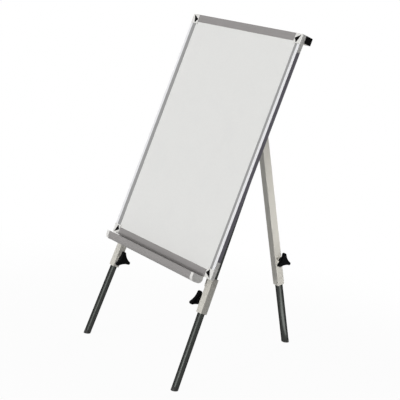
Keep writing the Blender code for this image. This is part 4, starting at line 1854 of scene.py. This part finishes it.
@dataclass
class Studio:
    """A pale floor, soft light and the camera at the photograph's angle."""

    camera_at: Point = (3.4936, -2.8997, 1.5676)
    azimuth: float = radians(52.06)
    elevation: float = radians(11.432)
    roll: float = radians(8.043)
    lens: float = 98.774
    sensor: float = 36.0
    sight: float = 200.0
    ambient: float = 0.03
    floor_size: float = 120.0
    floor_near: float = 0.96
    fade_from: float = 0.7
    fade_to: float = 2.0
    floor_colour: str = "#C6C6C6"

    def camera(self) -> None:
        """Set the camera up for a square picture."""
        data = bpy.data.cameras.new("photo_camera")
        data.sensor_fit = "HORIZONTAL"
        data.sensor_width = self.sensor
        data.lens = self.lens
        data.clip_end = self.sight
        camera = bpy.data.objects.new("photo_camera", data)
        bpy.context.scene.collection.objects.link(camera)
        tilt = Matrix.Rotation(pi / 2 - self.elevation, 4, "X")
        turn = Matrix.Rotation(self.azimuth, 4, "Z") @ tilt
        roll = Matrix.Rotation(self.roll, 4, "Z")
        camera.matrix_world = Matrix.Translation(self.camera_at) @ turn @ roll
        bpy.context.scene.camera = camera

    def seen(self, tree: Tree) -> Socket:
        """One for rays from the camera, a shiny surface or glass, and zero for all others.

        Args:
            tree: The nodes of the world or the floor.

        Returns:
            The value's output.
        """
        path = add_node(tree, "ShaderNodeLightPath")
        seen = path.outputs["Is Camera Ray"]
        for name in ("Is Glossy Ray", "Is Transmission Ray"):
            either = {0: seen, 1: path.outputs[name]}
            seen = add_node(tree, "ShaderNodeMath", {"operation": "MAXIMUM"}, either).outputs[0]
        return seen

    def world(self) -> None:
        """A white room that lights the object more softly than it looks."""
        world = bpy.data.worlds.new("white_room")
        world.use_nodes = True
        tree = world.node_tree
        levels = {"Value": self.seen(tree), "To Min": self.ambient, "To Max": 1.0}
        strength = add_node(tree, "ShaderNodeMapRange", links=levels)
        background = tree.nodes["Background"]
        background.inputs["Color"].default_value = (1, 1, 1, 1)
        tree.links.new(strength.outputs["Result"], background.inputs["Strength"])
        bpy.context.scene.world = world

    def floor(self) -> None:
        """A white floor that keeps a faint shadow near the object and fades to plain white."""
        leave_edit_mode()
        bpy.ops.object.select_all(action="DESELECT")
        bpy.ops.mesh.primitive_plane_add(size=self.floor_size)
        floor = bpy.context.object
        floor.name = "studio_floor"
        material = bpy.data.materials.new("white_floor")
        material.use_nodes = True
        tree = material.node_tree
        tree.nodes.clear()
        place = add_node(tree, "ShaderNodeTexCoord").outputs["Object"]
        away = add_node(tree, "ShaderNodeVectorMath", {"operation": "LENGTH"}, {0: place})
        share = add_node(
            tree,
            "ShaderNodeMapRange",
            {"interpolation_type": "SMOOTHSTEP"},
            {
                "Value": away.outputs["Value"],
                "From Min": self.fade_from,
                "From Max": self.fade_to,
                "To Min": self.floor_near,
                "To Max": 1.0,
            },
        )
        shares = {0: self.seen(tree), 1: share.outputs["Result"]}
        factor = add_node(tree, "ShaderNodeMath", {"operation": "MULTIPLY"}, shares)
        paint = add_node(tree, "ShaderNodeBsdfDiffuse", links={"Color": linear(self.floor_colour)})
        white = add_node(tree, "ShaderNodeEmission", links={"Color": (1, 1, 1, 1), "Strength": 1.0})
        mix = add_node(
            tree,
            "ShaderNodeMixShader",
            links={0: factor.outputs[0], 1: paint.outputs[0], 2: white.outputs[0]},
        )
        add_node(tree, "ShaderNodeOutputMaterial", links={"Surface": mix.outputs[0]})
        floor.data.materials.append(material)

    def lamp(self, name: str, at: Point, aim: Point, size: Flat, watts: float) -> bpy.types.Object:
        """Hang a rectangular soft light that the camera doesn't see.

        Args:
            name: Its name.
            at: Where it hangs.
            aim: What it points at.
            size: Its width and height.
            watts: Its power.

        Returns:
            The lamp, which shines to all sides.
        """
        data = bpy.data.lights.new(name, "AREA")
        data.shape = "RECTANGLE"
        data.size, data.size_y = size
        data.energy = watts
        lamp = bpy.data.objects.new(name, data)
        bpy.context.scene.collection.objects.link(lamp)
        lamp.location = at
        lamp.rotation_euler = (Vector(at) - Vector(aim)).to_track_quat("Z", "Y").to_euler()
        lamp.visible_camera = False
        return lamp

    def sun(self, name: str, azimuth: float, elevation: float, width: float, strength: float) -> None:
        """Shine a soft light that is as strong low on the object as high up, and leaves no glint.

        Args:
            name: Its name.
            azimuth: The way it comes from, from straight ahead of the board towards +X.
            elevation: How high it stands.
            width: The angle that it fills.
            strength: Watts on a square metre that faces it.
        """
        data = bpy.data.lights.new(name, "SUN")
        data.energy = strength
        data.angle = width
        lamp = bpy.data.objects.new(name, data)
        bpy.context.scene.collection.objects.link(lamp)
        lamp.rotation_euler = (pi / 2 - elevation, 0, azimuth)
        lamp.visible_glossy = False

    def build(self) -> None:
        """Set up the camera, the room and the lights."""
        self.camera()
        self.world()
        self.floor()
        self.sun("front_light", radians(15), radians(11), radians(5), 1.42)
        self.sun("upper_light", radians(2), radians(45), radians(60), 1.38)
        self.sun("back_light", radians(215), radians(14), radians(20), 2.0)
        # The right face of the rear leg
        rear = self.lamp("rear_light", (1.1, 0.12, 0.8), (0, 0.25, 0.5), (0.5, 0.9), 1.4)
        rear.data.spread = radians(45)
        rear.data.use_shadow = False
        # The glints on the front tubes, and the one on the rear lower tube alone
        front_glint = self.lamp("front_glint", (1.75, -3.4, 0.5), (0, -0.35, 0.3), (2.0, 0.7), 38)
        rear_glint = self.lamp("rear_glint", (0.33, 0.34, 0.006), (0.33, 0.34, 1), (0.5, 0.26), 1.9)
        for glint in (front_glint, rear_glint):
            glint.visible_diffuse = False
        glinting = bpy.data.collections.new("glinting_tube")
        glinting.objects.link(bpy.data.objects["rear_lower_tube_drawn"])
        rear_glint.light_linking.receiver_collection = glinting
        bpy.context.scene.view_settings.view_transform = "Standard"


def main() -> None:
    """Build every sub-assembly round its solids, logging each piece, then the studio."""
    logging.basicConfig(level=logging.INFO, format="%(name)s: %(message)s")
    stance = Stance()
    screw = Screw()
    assemblies = (
        Panel(),
        BoardFrame(stance),
        PenTray(stance, screw),
        Crossbar(stance, screw),
        Hinge(stance, screw),
        FrontLegs(stance, screw),
        RearLeg(stance),
        Clamps(stance),
    )
    for assembly in assemblies:
        for piece in assembly.build():
            LOG.info("%s on %s", piece.name, piece["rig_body"])
    screw.put_away()
    Studio().build()


if __name__ == "__main__":
    main()
